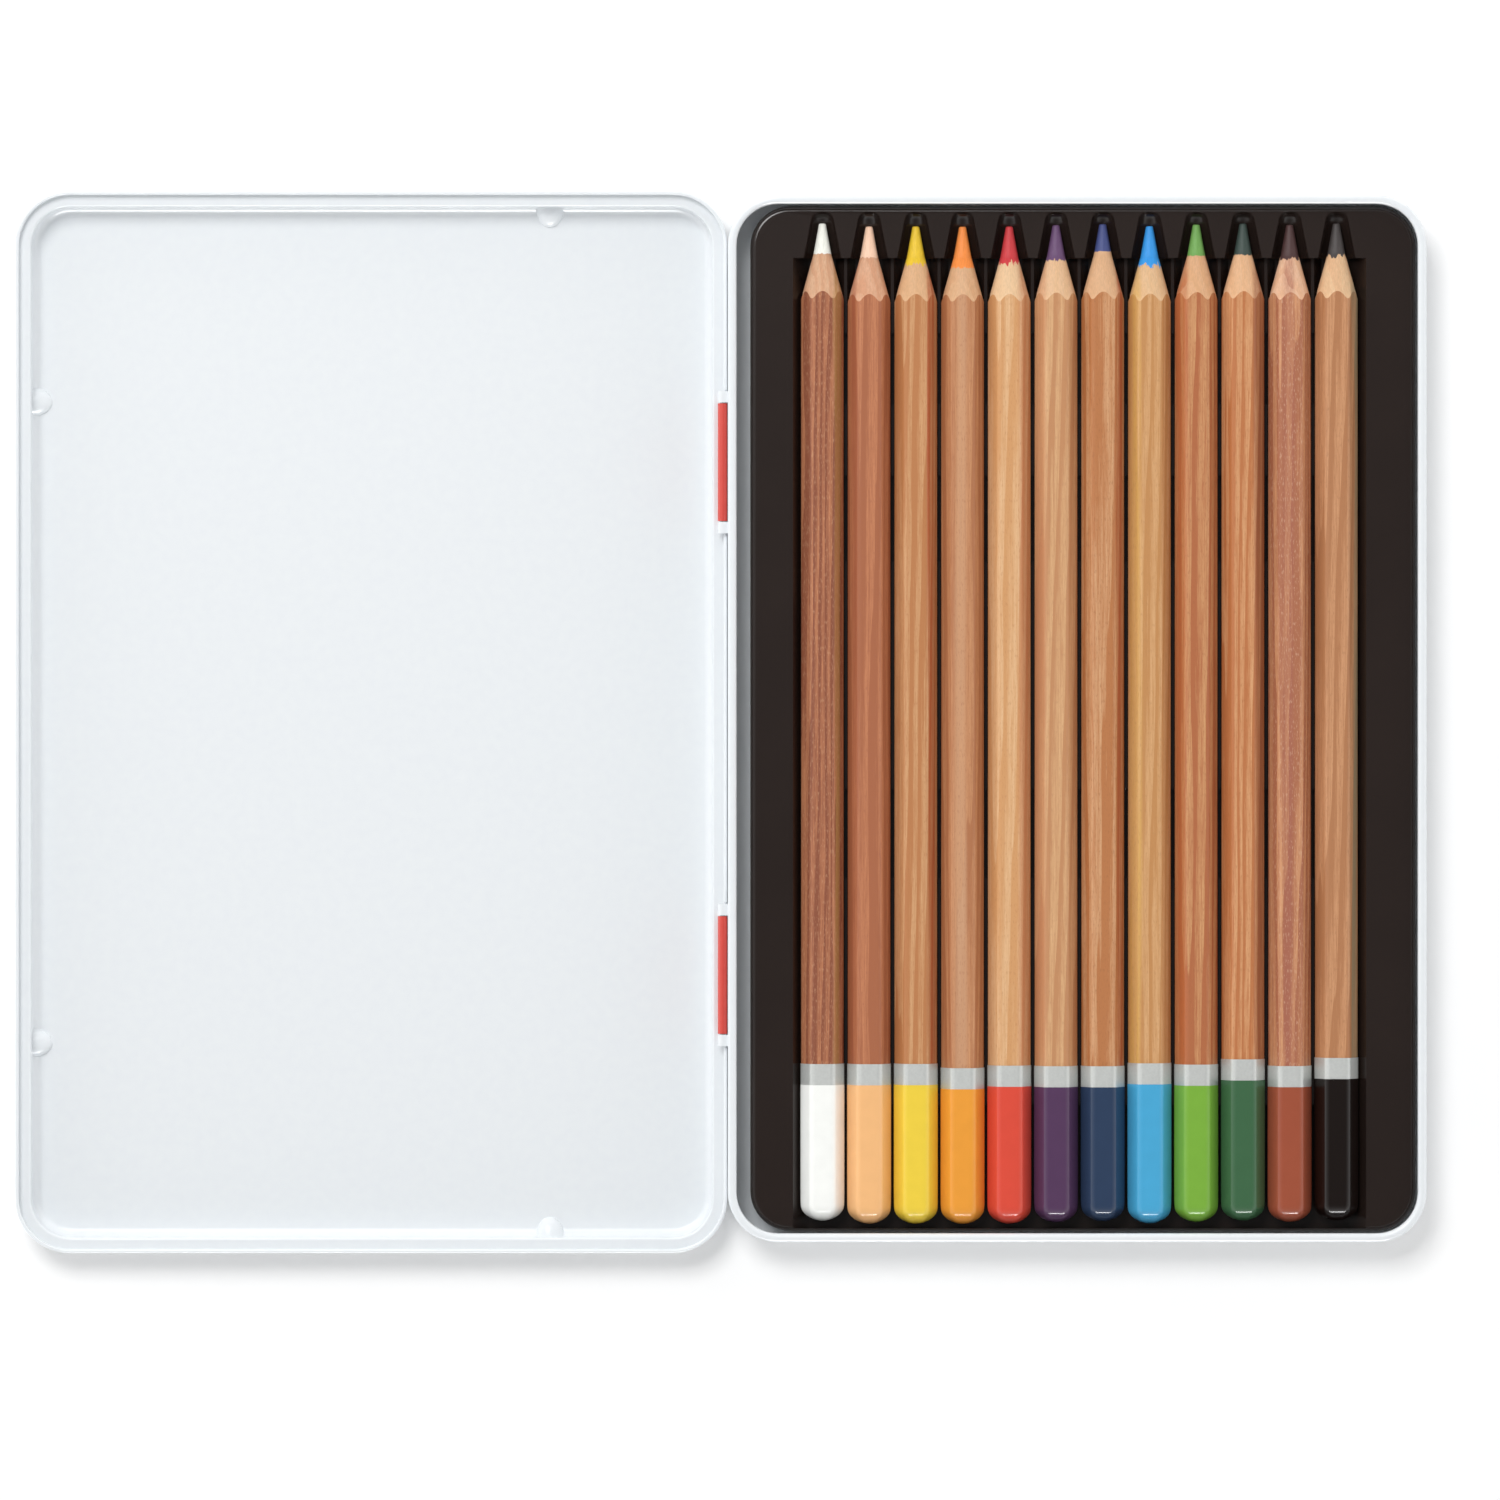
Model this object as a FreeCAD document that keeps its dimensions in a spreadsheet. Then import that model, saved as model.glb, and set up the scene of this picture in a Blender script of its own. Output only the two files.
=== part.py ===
import FreeCAD, Part
import Sketcher
import math
import os

# A hinged tin of colour pencils, lying open: the base with its tray and pencils stands at the origin,
# and the lid lies inside up on its left. Pencil tips point along +Y, and Z is up.

doc = FreeCAD.newDocument("PencilTin")
sheet = doc.addObject("Spreadsheet::Sheet", "Sizes")

# Driving sizes, in millimetres unless the note says otherwise
SIZES = (
    ("tinThickness", "0.3", "lacquered tinplate of base and lid"),
    ("baseHeight", "9.4", "base up to the top of its rolled rim"),
    ("baseCorner", "8.8", "plan radius of the base's outer corners"),
    ("rimRoll", "1.55", "size of the rim rolled inward round the base's mouth"),
    ("lidFrontClearance", "0.15", "base to lid hem at the front"),
    ("lidRearClearance", "0.1", "base to lid at the hinges when the lid lies open"),
    ("lidEndClearance", "0.8", "base to lid hem at both ends"),
    ("lidShift", "0.6", "lid towards the pencils' round ends, within that clearance"),
    ("hemHeight", "1.2", "height of the lid's folded edge"),
    ("rimDrop", "0.4", "lid edge below the hinge pin when the lid lies open"),
    ("ledgeWidth", "2.3", "step inside the lid that lands on the base's rim"),
    ("ledgeGap", "0.1", "base rim to that step, lid shut"),
    ("panelHeight", "5.5", "lid's raised panel beyond that step"),
    ("dimpleLength", "5.0", "pressed lid dimple along the wall"),
    ("dimpleReach", "3.4", "pressed lid dimple inward from the wall"),
    ("knuckleGap", "0.05", "rolled hinge strip to the base's rear wall"),
    ("knuckleLength", "20.6", "rolled hinge strip along the pin"),
    ("stripThickness", "0.3", "sheet of the hinge strip"),
    ("leafEndGap", "0.05", "hinge strip's leaf to the rounded foot of the lid's skirt"),
    ("pinRadius", "0.5", "hinge wire"),
    ("pinFit", "0.05", "hinge wire to rolled strip, on the radius"),
    ("pinHold", "0.02", "hinge wire to the base's lugs, on the radius"),
    ("lugLength", "2.0", "base lug along the pin"),
    ("lugGap", "0.15", "lug to rolled strip, along the pin"),
    ("notchGap", "0.15", "lid skirt to the hinge parts"),
    ("trayThickness", "0.5", "formed sheet of the tray"),
    ("trayHingeGap", "2.4", "tray to rim on the hinge side"),
    ("trayFrontGap", "0.2", "tray to rim at the front"),
    ("trayEndGap", "0.25", "tray to rim at both ends"),
    ("trayEdgeRound", "1.0", "rounding of the tray's upper edge"),
    ("channelRise", "1.6", "channel floor above the tray's foot"),
    ("ridgeTop", "0.53", "top of the ridge between pencils, across"),
    ("notchFloor", "0.9", "finger notch above the channel floor"),
    ("rowCentre", "0.5", "middle of the pencil row, from the base's middle"),
    ("sideMargin", "12.0", "base beyond the pencils' share of it, each side"),
    ("endMargin", "4.2", "base beyond the pencils, each end"),
    ("rowSetback", "0.9", "middle of the pencils behind the base's middle"),
    ("pencilGap", "0.348", "edge to edge between neighbouring barrels, before rounding"),
    ("pencilClearance", "0.3", "lacquered pencil to channel wall"),
    ("pocketMargin", "1.0", "tip pocket to the tray's end"),
    ("pocketLength", "8.1", "tip pocket along the pencil"),
    ("pocketMouth", "4.0", "width of a tip pocket at its far end"),
    ("pocketWall", "1.6", "flange left between two tip pockets at their near ends"),
    ("pocketRound", "1.6", "radius round a tip pocket's far end"),
    ("pencilLength", "175.0", "whole pencil"),
    ("pencilShift", "0.3", "most that a pencil lies forward or back in its channel"),
    ("acrossFlats", "6.8", "hexagonal barrel"),
    ("barrelRound", "1.1", "radius along the barrel's six edges"),
    ("tipRadius", "0.6", "blunt end of the core"),
    ("tipRound", "0.3", "rounding of the core's blunt end"),
    ("coreExposed", "5.5", "bare core beyond the wood"),
    ("woodCone", "8.4", "sharpened wood along the pencil"),
    ("glueGap", "0.02", "core, band and cap to the wood"),
    ("bandLength", "3.7", "silver band"),
    ("bandSkin", "0.08", "silver band's thickness"),
    ("capLength", "24.0", "dipped cap"),
    ("capSkin", "0.14", "dipped cap's thickness on the flats"),
    ("cutOver", "1.0", "overrun of cuts into the open"),
)

# Where the finger notches in the ridges begin and end and where the trench does, and the dimples
# in the lid, as shares of the tray's or the lid's length or width
NOTCH_SHARES = ((0.307, 0.3765), (0.1535, 0.2375), (-0.1557, -0.069))
TRENCH_SHARE = -0.377
DIMPLE_SIDE_SHARE = 0.25
DIMPLE_FRONT_SHARE = 0.303

# Middle of each hinge from the middle of the base, as a share of the base's length
HINGE_SHARE = 0.245

# Radii as shares of the roll, fold or wall that each of them belongs to
BASE_ROUND_SHARE = 0.97
RIM_ROUND_SHARE = 0.45
RIM_UNDER_SHARE = 0.32
HEM_ROUND_SHARE = 0.43
PANEL_ROUND_SHARE = 0.35
STEP_ROUND_SHARE = 0.08
DIMPLE_RISE_SHARE = 0.38

# The tray's depth from flange to channel floor, as a share of a cap's thickness, and the coloured
# core's radius, as a share of the barrel's thickness
TROUGH_SHARE = 0.678
CORE_SHARE = 0.2353

# The cap's round end as shares of the barrel's corner radius: the arc at its end, the arc at its
# side and how far that one bulges, and the radius that end cuts reach out to. Then the cap beyond
# the end of the wood, as a share of the end arc
END_ARC_SHARE = 1.17
SIDE_ARC_SHARE = 0.968
BULGE_SHARE = 1.03
CUT_SHARE = 1.006
CAP_END_SHARE = 0.6

# Each pencil lies a little differently: its shift along the channel as a share of pencilShift, and the
# place where its cap was dipped to as a share of bandLength
SHIFT_SHARES = (1.0, -0.8, -0.8, -0.9, -0.8, 0.0, 0.6, -0.6, 0.3, 0.9, 0.2, 1.0)
DIP_SHARES = (-0.03, 0.11, 0.12, -0.07, 0.04, -0.05, -0.1, 0.135, 0.0, 0.2, -0.06, 0.26)

# Lengths that follow from the sheet, as expressions
PENCIL_COUNT = len(SHIFT_SHARES)
CORNER_REACH = "(Sizes.acrossFlats / sqrt(3))"
PITCH = f"(2 * {CORNER_REACH} + Sizes.pencilGap)"
BASE_WIDTH = f"({PENCIL_COUNT} * {PITCH} + 2 * Sizes.sideMargin)"
BASE_LENGTH = "(Sizes.pencilLength + 2 * Sizes.endMargin)"
BASE_ROUND = f"({BASE_ROUND_SHARE} * Sizes.rimRoll)"
RIM_OPENING_X = f"({BASE_WIDTH} / 2 - Sizes.rimRoll)"
RIM_OPENING_Y = f"({BASE_LENGTH} / 2 - Sizes.rimRoll)"
KNUCKLE_RADIUS = "(Sizes.pinRadius + Sizes.pinFit + Sizes.stripThickness)"
HINGE_SETBACK = f"({KNUCKLE_RADIUS} + Sizes.knuckleGap)"
HEM_DEPTH = "(2 * Sizes.tinThickness)"
PIN_X = f"(-{BASE_WIDTH} / 2 - {HINGE_SETBACK})"
PIN_Z = "((Sizes.baseHeight + Sizes.ledgeGap + Sizes.panelHeight) / 2)"
HINGES = (("near", f"-{HINGE_SHARE} * {BASE_LENGTH}"), ("far", f"{HINGE_SHARE} * {BASE_LENGTH}"))
LID_REAR_X = f"(-{BASE_WIDTH} / 2 - Sizes.lidRearClearance)"
LID_FRONT_X = f"(2 * {PIN_X} - {BASE_WIDTH} / 2 - Sizes.lidFrontClearance - {HEM_DEPTH})"
LID_WIDTH = f"({LID_REAR_X} - {LID_FRONT_X})"
LID_LENGTH = f"({BASE_LENGTH} + 2 * Sizes.lidEndClearance + 2 * {HEM_DEPTH})"
LID_CORNER = f"(Sizes.baseCorner + {HEM_DEPTH} + Sizes.lidFrontClearance)"
LID_CENTRE_X = f"(({LID_REAR_X} + {LID_FRONT_X}) / 2)"
LID_RIM_Z = f"({PIN_Z} - Sizes.rimDrop)"
LEDGE_Z = "Sizes.panelHeight"
PANEL_INSET = "(Sizes.tinThickness + Sizes.ledgeWidth)"
PANEL_WALL = "(Sizes.panelHeight - Sizes.tinThickness)"
PANEL_ROUND = f"({PANEL_ROUND_SHARE} * {PANEL_WALL})"
STEP_ROUND = f"({STEP_ROUND_SHARE} * {PANEL_WALL})"
DIMPLE_RISE = f"({DIMPLE_RISE_SHARE} * {PANEL_WALL})"
TRAY_LEFT_X = f"(-{RIM_OPENING_X} + Sizes.trayHingeGap)"
TRAY_RIGHT_X = f"({RIM_OPENING_X} - Sizes.trayFrontGap)"
TRAY_WIDTH = f"({TRAY_RIGHT_X} - {TRAY_LEFT_X})"
TRAY_CENTRE_X = f"(({TRAY_RIGHT_X} + {TRAY_LEFT_X}) / 2)"
TRAY_LENGTH = f"(2 * ({RIM_OPENING_Y} - Sizes.trayEndGap))"
TRAY_CORNER = "(Sizes.baseCorner - Sizes.rimRoll - Sizes.trayFrontGap)"
CAP_FLATS = "(Sizes.acrossFlats + 2 * Sizes.capSkin)"
TROUGH_DEPTH = f"({TROUGH_SHARE} * {CAP_FLATS})"
TRAY_HEIGHT = f"(Sizes.channelRise + {TROUGH_DEPTH})"
FLOOR_HALF = f"({CAP_FLATS} / (2 * sqrt(3)) + Sizes.pencilClearance * 2 / sqrt(3))"
RIDGE_HEIGHT = f"((({PITCH} - Sizes.ridgeTop) / 2 - {FLOOR_HALF}) * sqrt(3))"
TRENCH_END_Y = f"(-{TRAY_LENGTH} / 2 + Sizes.trayThickness)"
POCKET_END_Y = f"({TRAY_LENGTH} / 2 - Sizes.pocketMargin)"
POCKET_ROOT_Y = f"({POCKET_END_Y} - Sizes.pocketLength)"
WOOD_END = "(Sizes.pencilLength - Sizes.coreExposed)"
CORE_RADIUS = f"({CORE_SHARE} * Sizes.acrossFlats)"
END_ARC = f"({END_ARC_SHARE} * {CORNER_REACH})"
SIDE_ARC = f"({SIDE_ARC_SHARE} * {CORNER_REACH})"
SIDE_ARC_X = f"({BULGE_SHARE} * {CORNER_REACH} - {SIDE_ARC})"
SIDE_ARC_Y = f"({END_ARC} - sqrt(({END_ARC} - {SIDE_ARC}) ^ 2 - {SIDE_ARC_X} ^ 2))"
CAP_END = f"({CAP_END_SHARE} * {END_ARC})"
CUT_REACH = f"({CUT_SHARE} * {CORNER_REACH})"
BUTT_Y = "(-Sizes.pencilLength / 2 - Sizes.rowSetback)"
AXIS_Z = f"(Sizes.tinThickness + Sizes.channelRise + {CAP_FLATS} / 2)"
TOUCH = 1e-4
UPWARD = FreeCAD.Vector(0, 0, 1)
ALONG_Y = FreeCAD.Rotation(FreeCAD.Vector(1, 0, 0), -90)

# A sketch's points are named by position, and its own axes and origin by negative numbers
START, END, CENTRE = 1, 2, 3
FLAT_AXIS, UPRIGHT_AXIS, SKETCH_ORIGIN = -1, -2, -1


def fill_sheet():
    for row, (alias, number, note) in enumerate(SIZES, start=1):
        sheet.set(f"A{row}", note)
        sheet.set(f"B{row}", number)
        sheet.setAlias(f"B{row}", alias)
    doc.recompute()


def value(expression):
    """The present number of an expression over the sheet."""
    return float(sheet.evalExpression(expression))


def new_body(name, x="0", y="0", z="0"):
    body = doc.addObject("PartDesign::Body", name)
    body.Label = name
    for axis, expression in (("x", x), ("y", y), ("z", z)):
        body.setExpression(f"Placement.Base.{axis}", expression)
    return body


def add_sketch(body, name, plane, offset="0"):
    """A sketch on one of the body's origin planes, moved along that plane's normal."""
    sketch = body.newObject("Sketcher::SketchObject", name)
    origin = [feature for feature in body.Origin.OriginFeatures if feature.Role == plane]
    sketch.AttachmentSupport = (origin[0], "")
    sketch.MapMode = "FlatFace"
    sketch.setExpression("AttachmentOffset.Base.z", offset)
    return sketch


def place_point(sketch, geometry, position, x, y):
    """Fixes a sketch point by two expressions, or on an axis where one of them is zero."""
    for kind, expression, axis in (("DistanceX", x, UPRIGHT_AXIS), ("DistanceY", y, FLAT_AXIS)):
        if expression == "0":
            sketch.addConstraint(Sketcher.Constraint("PointOnObject", geometry, position, axis))
        else:
            ends = (SKETCH_ORIGIN, START, geometry, position)
            index = sketch.addConstraint(Sketcher.Constraint(kind, *ends, value(expression)))
            sketch.setExpression(f"Constraints[{index}]", expression)


def draw_outline(sketch, points):
    """A closed outline of straight lines through points, which are pairs of expressions."""
    corners = [FreeCAD.Vector(value(x), value(y), 0) for x, y in points]
    first = sketch.GeometryCount
    count = len(corners)
    for k in range(count):
        sketch.addGeometry(Part.LineSegment(corners[k], corners[(k + 1) % count]))
    for k, (x, y) in enumerate(points):
        before = first + (k - 1) % count
        sketch.addConstraint(Sketcher.Constraint("Coincident", before, END, first + k, START))
        place_point(sketch, first + k, START, x, y)


def draw_rounded(sketch, centres, radius):
    """A closed outline of equal corner arcs about centres, counter-clockwise, joined by tangents."""
    points = [FreeCAD.Vector(value(x), value(y), 0) for x, y in centres]
    size = value(radius)
    first = sketch.GeometryCount
    count = len(points)
    normals = []
    for k in range(count):
        step = points[(k + 1) % count] - points[k]
        normals.append(FreeCAD.Vector(step.y, -step.x, 0).normalize())
    for k in range(count):
        side = normals[k] * size
        sketch.addGeometry(Part.LineSegment(points[k] + side, points[(k + 1) % count] + side))
    for k in range(count):
        start = math.atan2(normals[k - 1].y, normals[k - 1].x)
        end = math.atan2(normals[k].y, normals[k].x)
        if end < start:
            end += 2 * math.pi
        circle = Part.Circle(points[k], UPWARD, size)
        sketch.addGeometry(Part.ArcOfCircle(circle, start, end))
    for k, (x, y) in enumerate(centres):
        arc = first + count + k
        before = first + (k - 1) % count
        sketch.addConstraint(Sketcher.Constraint("Tangent", before, END, arc, START))
        sketch.addConstraint(Sketcher.Constraint("Tangent", arc, END, first + k, START))
        place_point(sketch, arc, CENTRE, x, y)
        index = sketch.addConstraint(Sketcher.Constraint("Radius", arc, size))
        sketch.setExpression(f"Constraints[{index}]", radius)


def draw_rectangle(sketch, width, length, corner):
    x = f"({width} / 2 - {corner})"
    y = f"({length} / 2 - {corner})"
    draw_rounded(sketch, ((x, f"-{y}"), (x, y), (f"-{x}", y), (f"-{x}", f"-{y}")), corner)


def draw_hexagon(sketch, flats, corner):
    """A hexagon with flats above and below and rounded corners at both sides."""
    reach = f"(({flats} - 2 * {corner}) / sqrt(3))"
    rise = f"(({flats} - 2 * {corner}) / 2)"
    draw_rounded(
        sketch,
        (
            (reach, "0"),
            (f"{reach} / 2", rise),
            (f"-{reach} / 2", rise),
            (f"-{reach}", "0"),
            (f"-{reach} / 2", f"-{rise}"),
            (f"{reach} / 2", f"-{rise}"),
        ),
        corner,
    )


def draw_circle(sketch, radius):
    circle = sketch.addGeometry(Part.Circle(FreeCAD.Vector(), UPWARD, value(radius)))
    sketch.addConstraint(Sketcher.Constraint("Coincident", circle, CENTRE, SKETCH_ORIGIN, START))
    index = sketch.addConstraint(Sketcher.Constraint("Radius", circle, value(radius)))
    sketch.setExpression(f"Constraints[{index}]", radius)


def extrude(body, kind, name, sketch, length, backwards=False):
    """A pad or a pocket of a sketch. Each adds or removes material, and that is checked."""
    before = body.Shape.Volume if body.Tip else 0
    feature = body.newObject(f"PartDesign::{kind}", name)
    feature.Profile = sketch
    feature.Reversed = backwards
    feature.setExpression("Length", length)
    doc.recompute()
    gained = feature.Shape.Volume - before
    if (gained > 0) != (kind == "Pad"):
        raise ValueError(f"{body.Name} {name} changed nothing")
    return feature


def round_edges(body, name, radius, wanted):
    """Rounds the edges of the body that a test picks."""
    base = body.Tip
    picked = [f"Edge{k}" for k, edge in enumerate(base.Shape.Edges, start=1) if wanted(edge)]
    fillet = body.newObject("PartDesign::Fillet", name)
    fillet.Base = (base, picked)
    fillet.setExpression("Radius", radius)
    doc.recompute()
    if fillet.Shape.isNull():
        raise ValueError(f"{body.Name} {name} did not round")
    return fillet


def at_level(height, axis="Z"):
    """A test for edges that lie in one plane across an axis."""
    level = value(height)

    def lies_there(edge):
        box = edge.BoundBox
        return all(abs(getattr(box, f"{axis}{end}") - level) < TOUCH for end in ("Min", "Max"))

    return lies_there


def put_primitive(body, kind, name, sizes, place, turn=None):
    """An added or removed box, cylinder, cone or ellipsoid whose sizes and place are expressions."""
    primitive = body.newObject(f"PartDesign::{kind}", name)
    if turn:
        primitive.Placement = FreeCAD.Placement(FreeCAD.Vector(), turn)
    for prop, expression in sizes.items():
        primitive.setExpression(prop, expression)
    for axis, expression in zip("xyz", place):
        primitive.setExpression(f"Placement.Base.{axis}", expression)
    doc.recompute()
    return primitive


def turn_away(body, name, sketch):
    """Cuts a sketch away all round its own upright axis."""
    groove = body.newObject("PartDesign::Groove", name)
    groove.Profile = sketch
    groove.ReferenceAxis = (sketch, ["V_Axis"])
    doc.recompute()


# The base: a drawn tray of tinplate with a rolled rim and four lugs for the hinge wires


def hinge_lug(body, name, start):
    """A lug on the rear wall: an eye round the hinge wire on a short block."""
    put_primitive(
        body,
        "AdditiveBox",
        f"{name}Block",
        {
            "Length": f"{HINGE_SETBACK} + Sizes.tinThickness",
            "Width": "Sizes.lugLength",
            "Height": f"2 * {KNUCKLE_RADIUS}",
        },
        (PIN_X, start, f"{PIN_Z} - {KNUCKLE_RADIUS}"),
    )
    put_primitive(
        body,
        "AdditiveCylinder",
        f"{name}Eye",
        {"Radius": KNUCKLE_RADIUS, "Height": "Sizes.lugLength"},
        (PIN_X, start, PIN_Z),
        ALONG_Y,
    )
    put_primitive(
        body,
        "SubtractiveCylinder",
        f"{name}Bore",
        {"Radius": "Sizes.pinRadius + Sizes.pinHold", "Height": "Sizes.lugLength"},
        (PIN_X, start, PIN_Z),
        ALONG_Y,
    )


def make_base():
    body = new_body("base_shell")
    outside = add_sketch(body, "BaseOutline", "XY_Plane")
    draw_rectangle(outside, BASE_WIDTH, BASE_LENGTH, "Sizes.baseCorner")
    extrude(body, "Pad", "BaseBlock", outside, "Sizes.baseHeight")
    inside = add_sketch(body, "BaseInside", "XY_Plane", "Sizes.baseHeight")
    draw_rectangle(
        inside,
        f"({BASE_WIDTH} - 2 * Sizes.tinThickness)",
        f"({BASE_LENGTH} - 2 * Sizes.tinThickness)",
        "(Sizes.baseCorner - Sizes.tinThickness)",
    )
    extrude(body, "Pocket", "BaseHollow", inside, "Sizes.baseHeight - Sizes.tinThickness")
    floor_edge = at_level("Sizes.tinThickness")
    round_edges(body, "BaseFloorRound", f"{BASE_ROUND} - Sizes.tinThickness", floor_edge)
    round_edges(body, "BaseUnderRound", BASE_ROUND, at_level("0"))
    rim = add_sketch(body, "RimOutline", "XY_Plane", "Sizes.baseHeight")
    draw_rectangle(rim, BASE_WIDTH, BASE_LENGTH, "Sizes.baseCorner")
    opening = (f"(2 * {RIM_OPENING_X})", f"(2 * {RIM_OPENING_Y})")
    draw_rectangle(rim, *opening, "(Sizes.baseCorner - Sizes.rimRoll)")
    extrude(body, "Pad", "Rim", rim, "Sizes.rimRoll", backwards=True)
    under_rim = at_level("Sizes.baseHeight - Sizes.rimRoll")
    round_edges(body, "RimRound", f"{RIM_ROUND_SHARE} * Sizes.rimRoll", at_level("Sizes.baseHeight"))
    round_edges(body, "RimUnderRound", f"{RIM_UNDER_SHARE} * Sizes.rimRoll", under_rim)
    for place, centre in HINGES:
        before = f"{centre} - Sizes.knuckleLength / 2 - Sizes.lugGap - Sizes.lugLength"
        beyond = f"{centre} + Sizes.knuckleLength / 2 + Sizes.lugGap"
        hinge_lug(body, f"LugBefore_{place}", before)
        hinge_lug(body, f"LugBeyond_{place}", beyond)
    return body


# The lid: a stepped panel with a skirt and a folded edge, lying inside up


def lid_dimple(body, name, place, degrees):
    """A dimple pressed in from outside, low in the wall of the raised panel. It bulges away from the
    wall, along the direction that degrees turns +Y to. place gives the middle of its foot at a
    distance inward from the lid's edge."""
    shapes = (
        ("Additive", PANEL_INSET, "Sizes.dimpleLength / 2", "Sizes.tinThickness"),
        ("Subtractive", "Sizes.ledgeWidth", "Sizes.dimpleLength / 2 - Sizes.tinThickness", "0"),
    )
    for kind, inset, half, level in shapes:
        bump = body.newObject(f"PartDesign::{kind}Ellipsoid", f"{name}{kind}")
        bump.Angle1 = 0
        bump.Angle2 = 90
        bump.Angle3 = 180
        bump.Placement = FreeCAD.Placement(FreeCAD.Vector(), FreeCAD.Rotation(UPWARD, degrees))
        bump.setExpression("Radius1", DIMPLE_RISE)
        bump.setExpression("Radius2", half)
        bump.setExpression("Radius3", "Sizes.dimpleReach")
        x, y = place(inset)
        for axis, expression in zip("xyz", (x, y, level)):
            bump.setExpression(f"Placement.Base.{axis}", expression)
        doc.recompute()


def make_lid():
    body = new_body("lid_shell", x=LID_CENTRE_X, y="-Sizes.lidShift")
    panel = add_sketch(body, "PanelOutline", "XY_Plane")
    draw_rectangle(
        panel,
        f"({LID_WIDTH} - 2 * Sizes.ledgeWidth)",
        f"({LID_LENGTH} - 2 * Sizes.ledgeWidth)",
        f"({LID_CORNER} - Sizes.ledgeWidth)",
    )
    extrude(body, "Pad", "RaisedPanel", panel, LEDGE_Z)
    skirt = add_sketch(body, "SkirtOutline", "XY_Plane", PANEL_WALL)
    draw_rectangle(skirt, LID_WIDTH, LID_LENGTH, LID_CORNER)
    extrude(body, "Pad", "Skirt", skirt, f"{LID_RIM_Z} - {LEDGE_Z} + Sizes.tinThickness")
    mouth = add_sketch(body, "SkirtInside", "XY_Plane", LID_RIM_Z)
    draw_rectangle(
        mouth,
        f"({LID_WIDTH} - 2 * Sizes.tinThickness)",
        f"({LID_LENGTH} - 2 * Sizes.tinThickness)",
        f"({LID_CORNER} - Sizes.tinThickness)",
    )
    extrude(body, "Pocket", "SkirtHollow", mouth, f"{LID_RIM_Z} - {LEDGE_Z}")
    recess = add_sketch(body, "PanelInside", "XY_Plane", LEDGE_Z)
    draw_rectangle(
        recess,
        f"({LID_WIDTH} - 2 * {PANEL_INSET})",
        f"({LID_LENGTH} - 2 * {PANEL_INSET})",
        f"({LID_CORNER} - {PANEL_INSET})",
    )
    extrude(body, "Pocket", "PanelHollow", recess, PANEL_WALL)
    panel_edge = at_level("Sizes.tinThickness")
    round_edges(body, "PanelInsideRound", f"{PANEL_ROUND} - Sizes.tinThickness", panel_edge)
    round_edges(body, "LedgeRound", STEP_ROUND, at_level(LEDGE_Z))
    round_edges(body, "PanelRound", PANEL_ROUND, at_level("0"))
    round_edges(body, "ShoulderRound", STEP_ROUND, at_level(PANEL_WALL))
    hem = add_sketch(body, "HemOutline", "XY_Plane", LID_RIM_Z)
    draw_rectangle(hem, LID_WIDTH, LID_LENGTH, LID_CORNER)
    draw_rectangle(
        hem,
        f"({LID_WIDTH} - 2 * {HEM_DEPTH})",
        f"({LID_LENGTH} - 2 * {HEM_DEPTH})",
        f"({LID_CORNER} - {HEM_DEPTH})",
    )
    extrude(body, "Pad", "Hem", hem, "Sizes.hemHeight", backwards=True)
    round_edges(body, "HemRound", f"{HEM_ROUND_SHARE} * {HEM_DEPTH}", at_level(LID_RIM_Z))
    half_notch = "(Sizes.knuckleLength / 2 + 2 * Sizes.lugGap + Sizes.lugLength + Sizes.notchGap)"
    for place, centre in HINGES:
        put_primitive(
            body,
            "SubtractiveBox",
            f"Notch_{place}",
            {
                "Length": f"{HEM_DEPTH} + 2 * Sizes.cutOver",
                "Width": f"2 * {half_notch}",
                "Height": f"{KNUCKLE_RADIUS} + Sizes.notchGap - Sizes.rimDrop + Sizes.cutOver",
            },
            (
                f"{LID_WIDTH} / 2 - {HEM_DEPTH} - Sizes.cutOver",
                f"{centre} - {half_notch} + Sizes.lidShift",
                f"{PIN_Z} - {KNUCKLE_RADIUS} - Sizes.notchGap",
            ),
        )
        put_primitive(
            body,
            "SubtractiveBox",
            f"HemGap_{place}",
            {
                "Length": f"{HEM_DEPTH} - Sizes.tinThickness + Sizes.cutOver",
                "Width": f"2 * {half_notch}",
                "Height": "Sizes.hemHeight + Sizes.cutOver",
            },
            (
                f"{LID_WIDTH} / 2 - {HEM_DEPTH} - Sizes.cutOver",
                f"{centre} - {half_notch} + Sizes.lidShift",
                f"{LID_RIM_Z} - Sizes.hemHeight",
            ),
        )
    side_x = f"{DIMPLE_SIDE_SHARE} * {LID_WIDTH}"
    front_y = f"{DIMPLE_FRONT_SHARE} * {LID_LENGTH}"
    dimples = (
        ("DimpleTip", lambda inset: (side_x, f"{LID_LENGTH} / 2 - {inset}"), 180),
        ("DimpleButt", lambda inset: (side_x, f"{inset} - {LID_LENGTH} / 2"), 0),
        ("DimpleFrontFar", lambda inset: (f"{inset} - {LID_WIDTH} / 2", front_y), -90),
        ("DimpleFrontNear", lambda inset: (f"{inset} - {LID_WIDTH} / 2", f"-{front_y}"), -90),
    )
    for name, place, degrees in dimples:
        lid_dimple(body, name, place, degrees)
    return body


# The hinges: a strip rolled round a wire, its leaf flat against the inside of the lid's rear skirt


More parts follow.
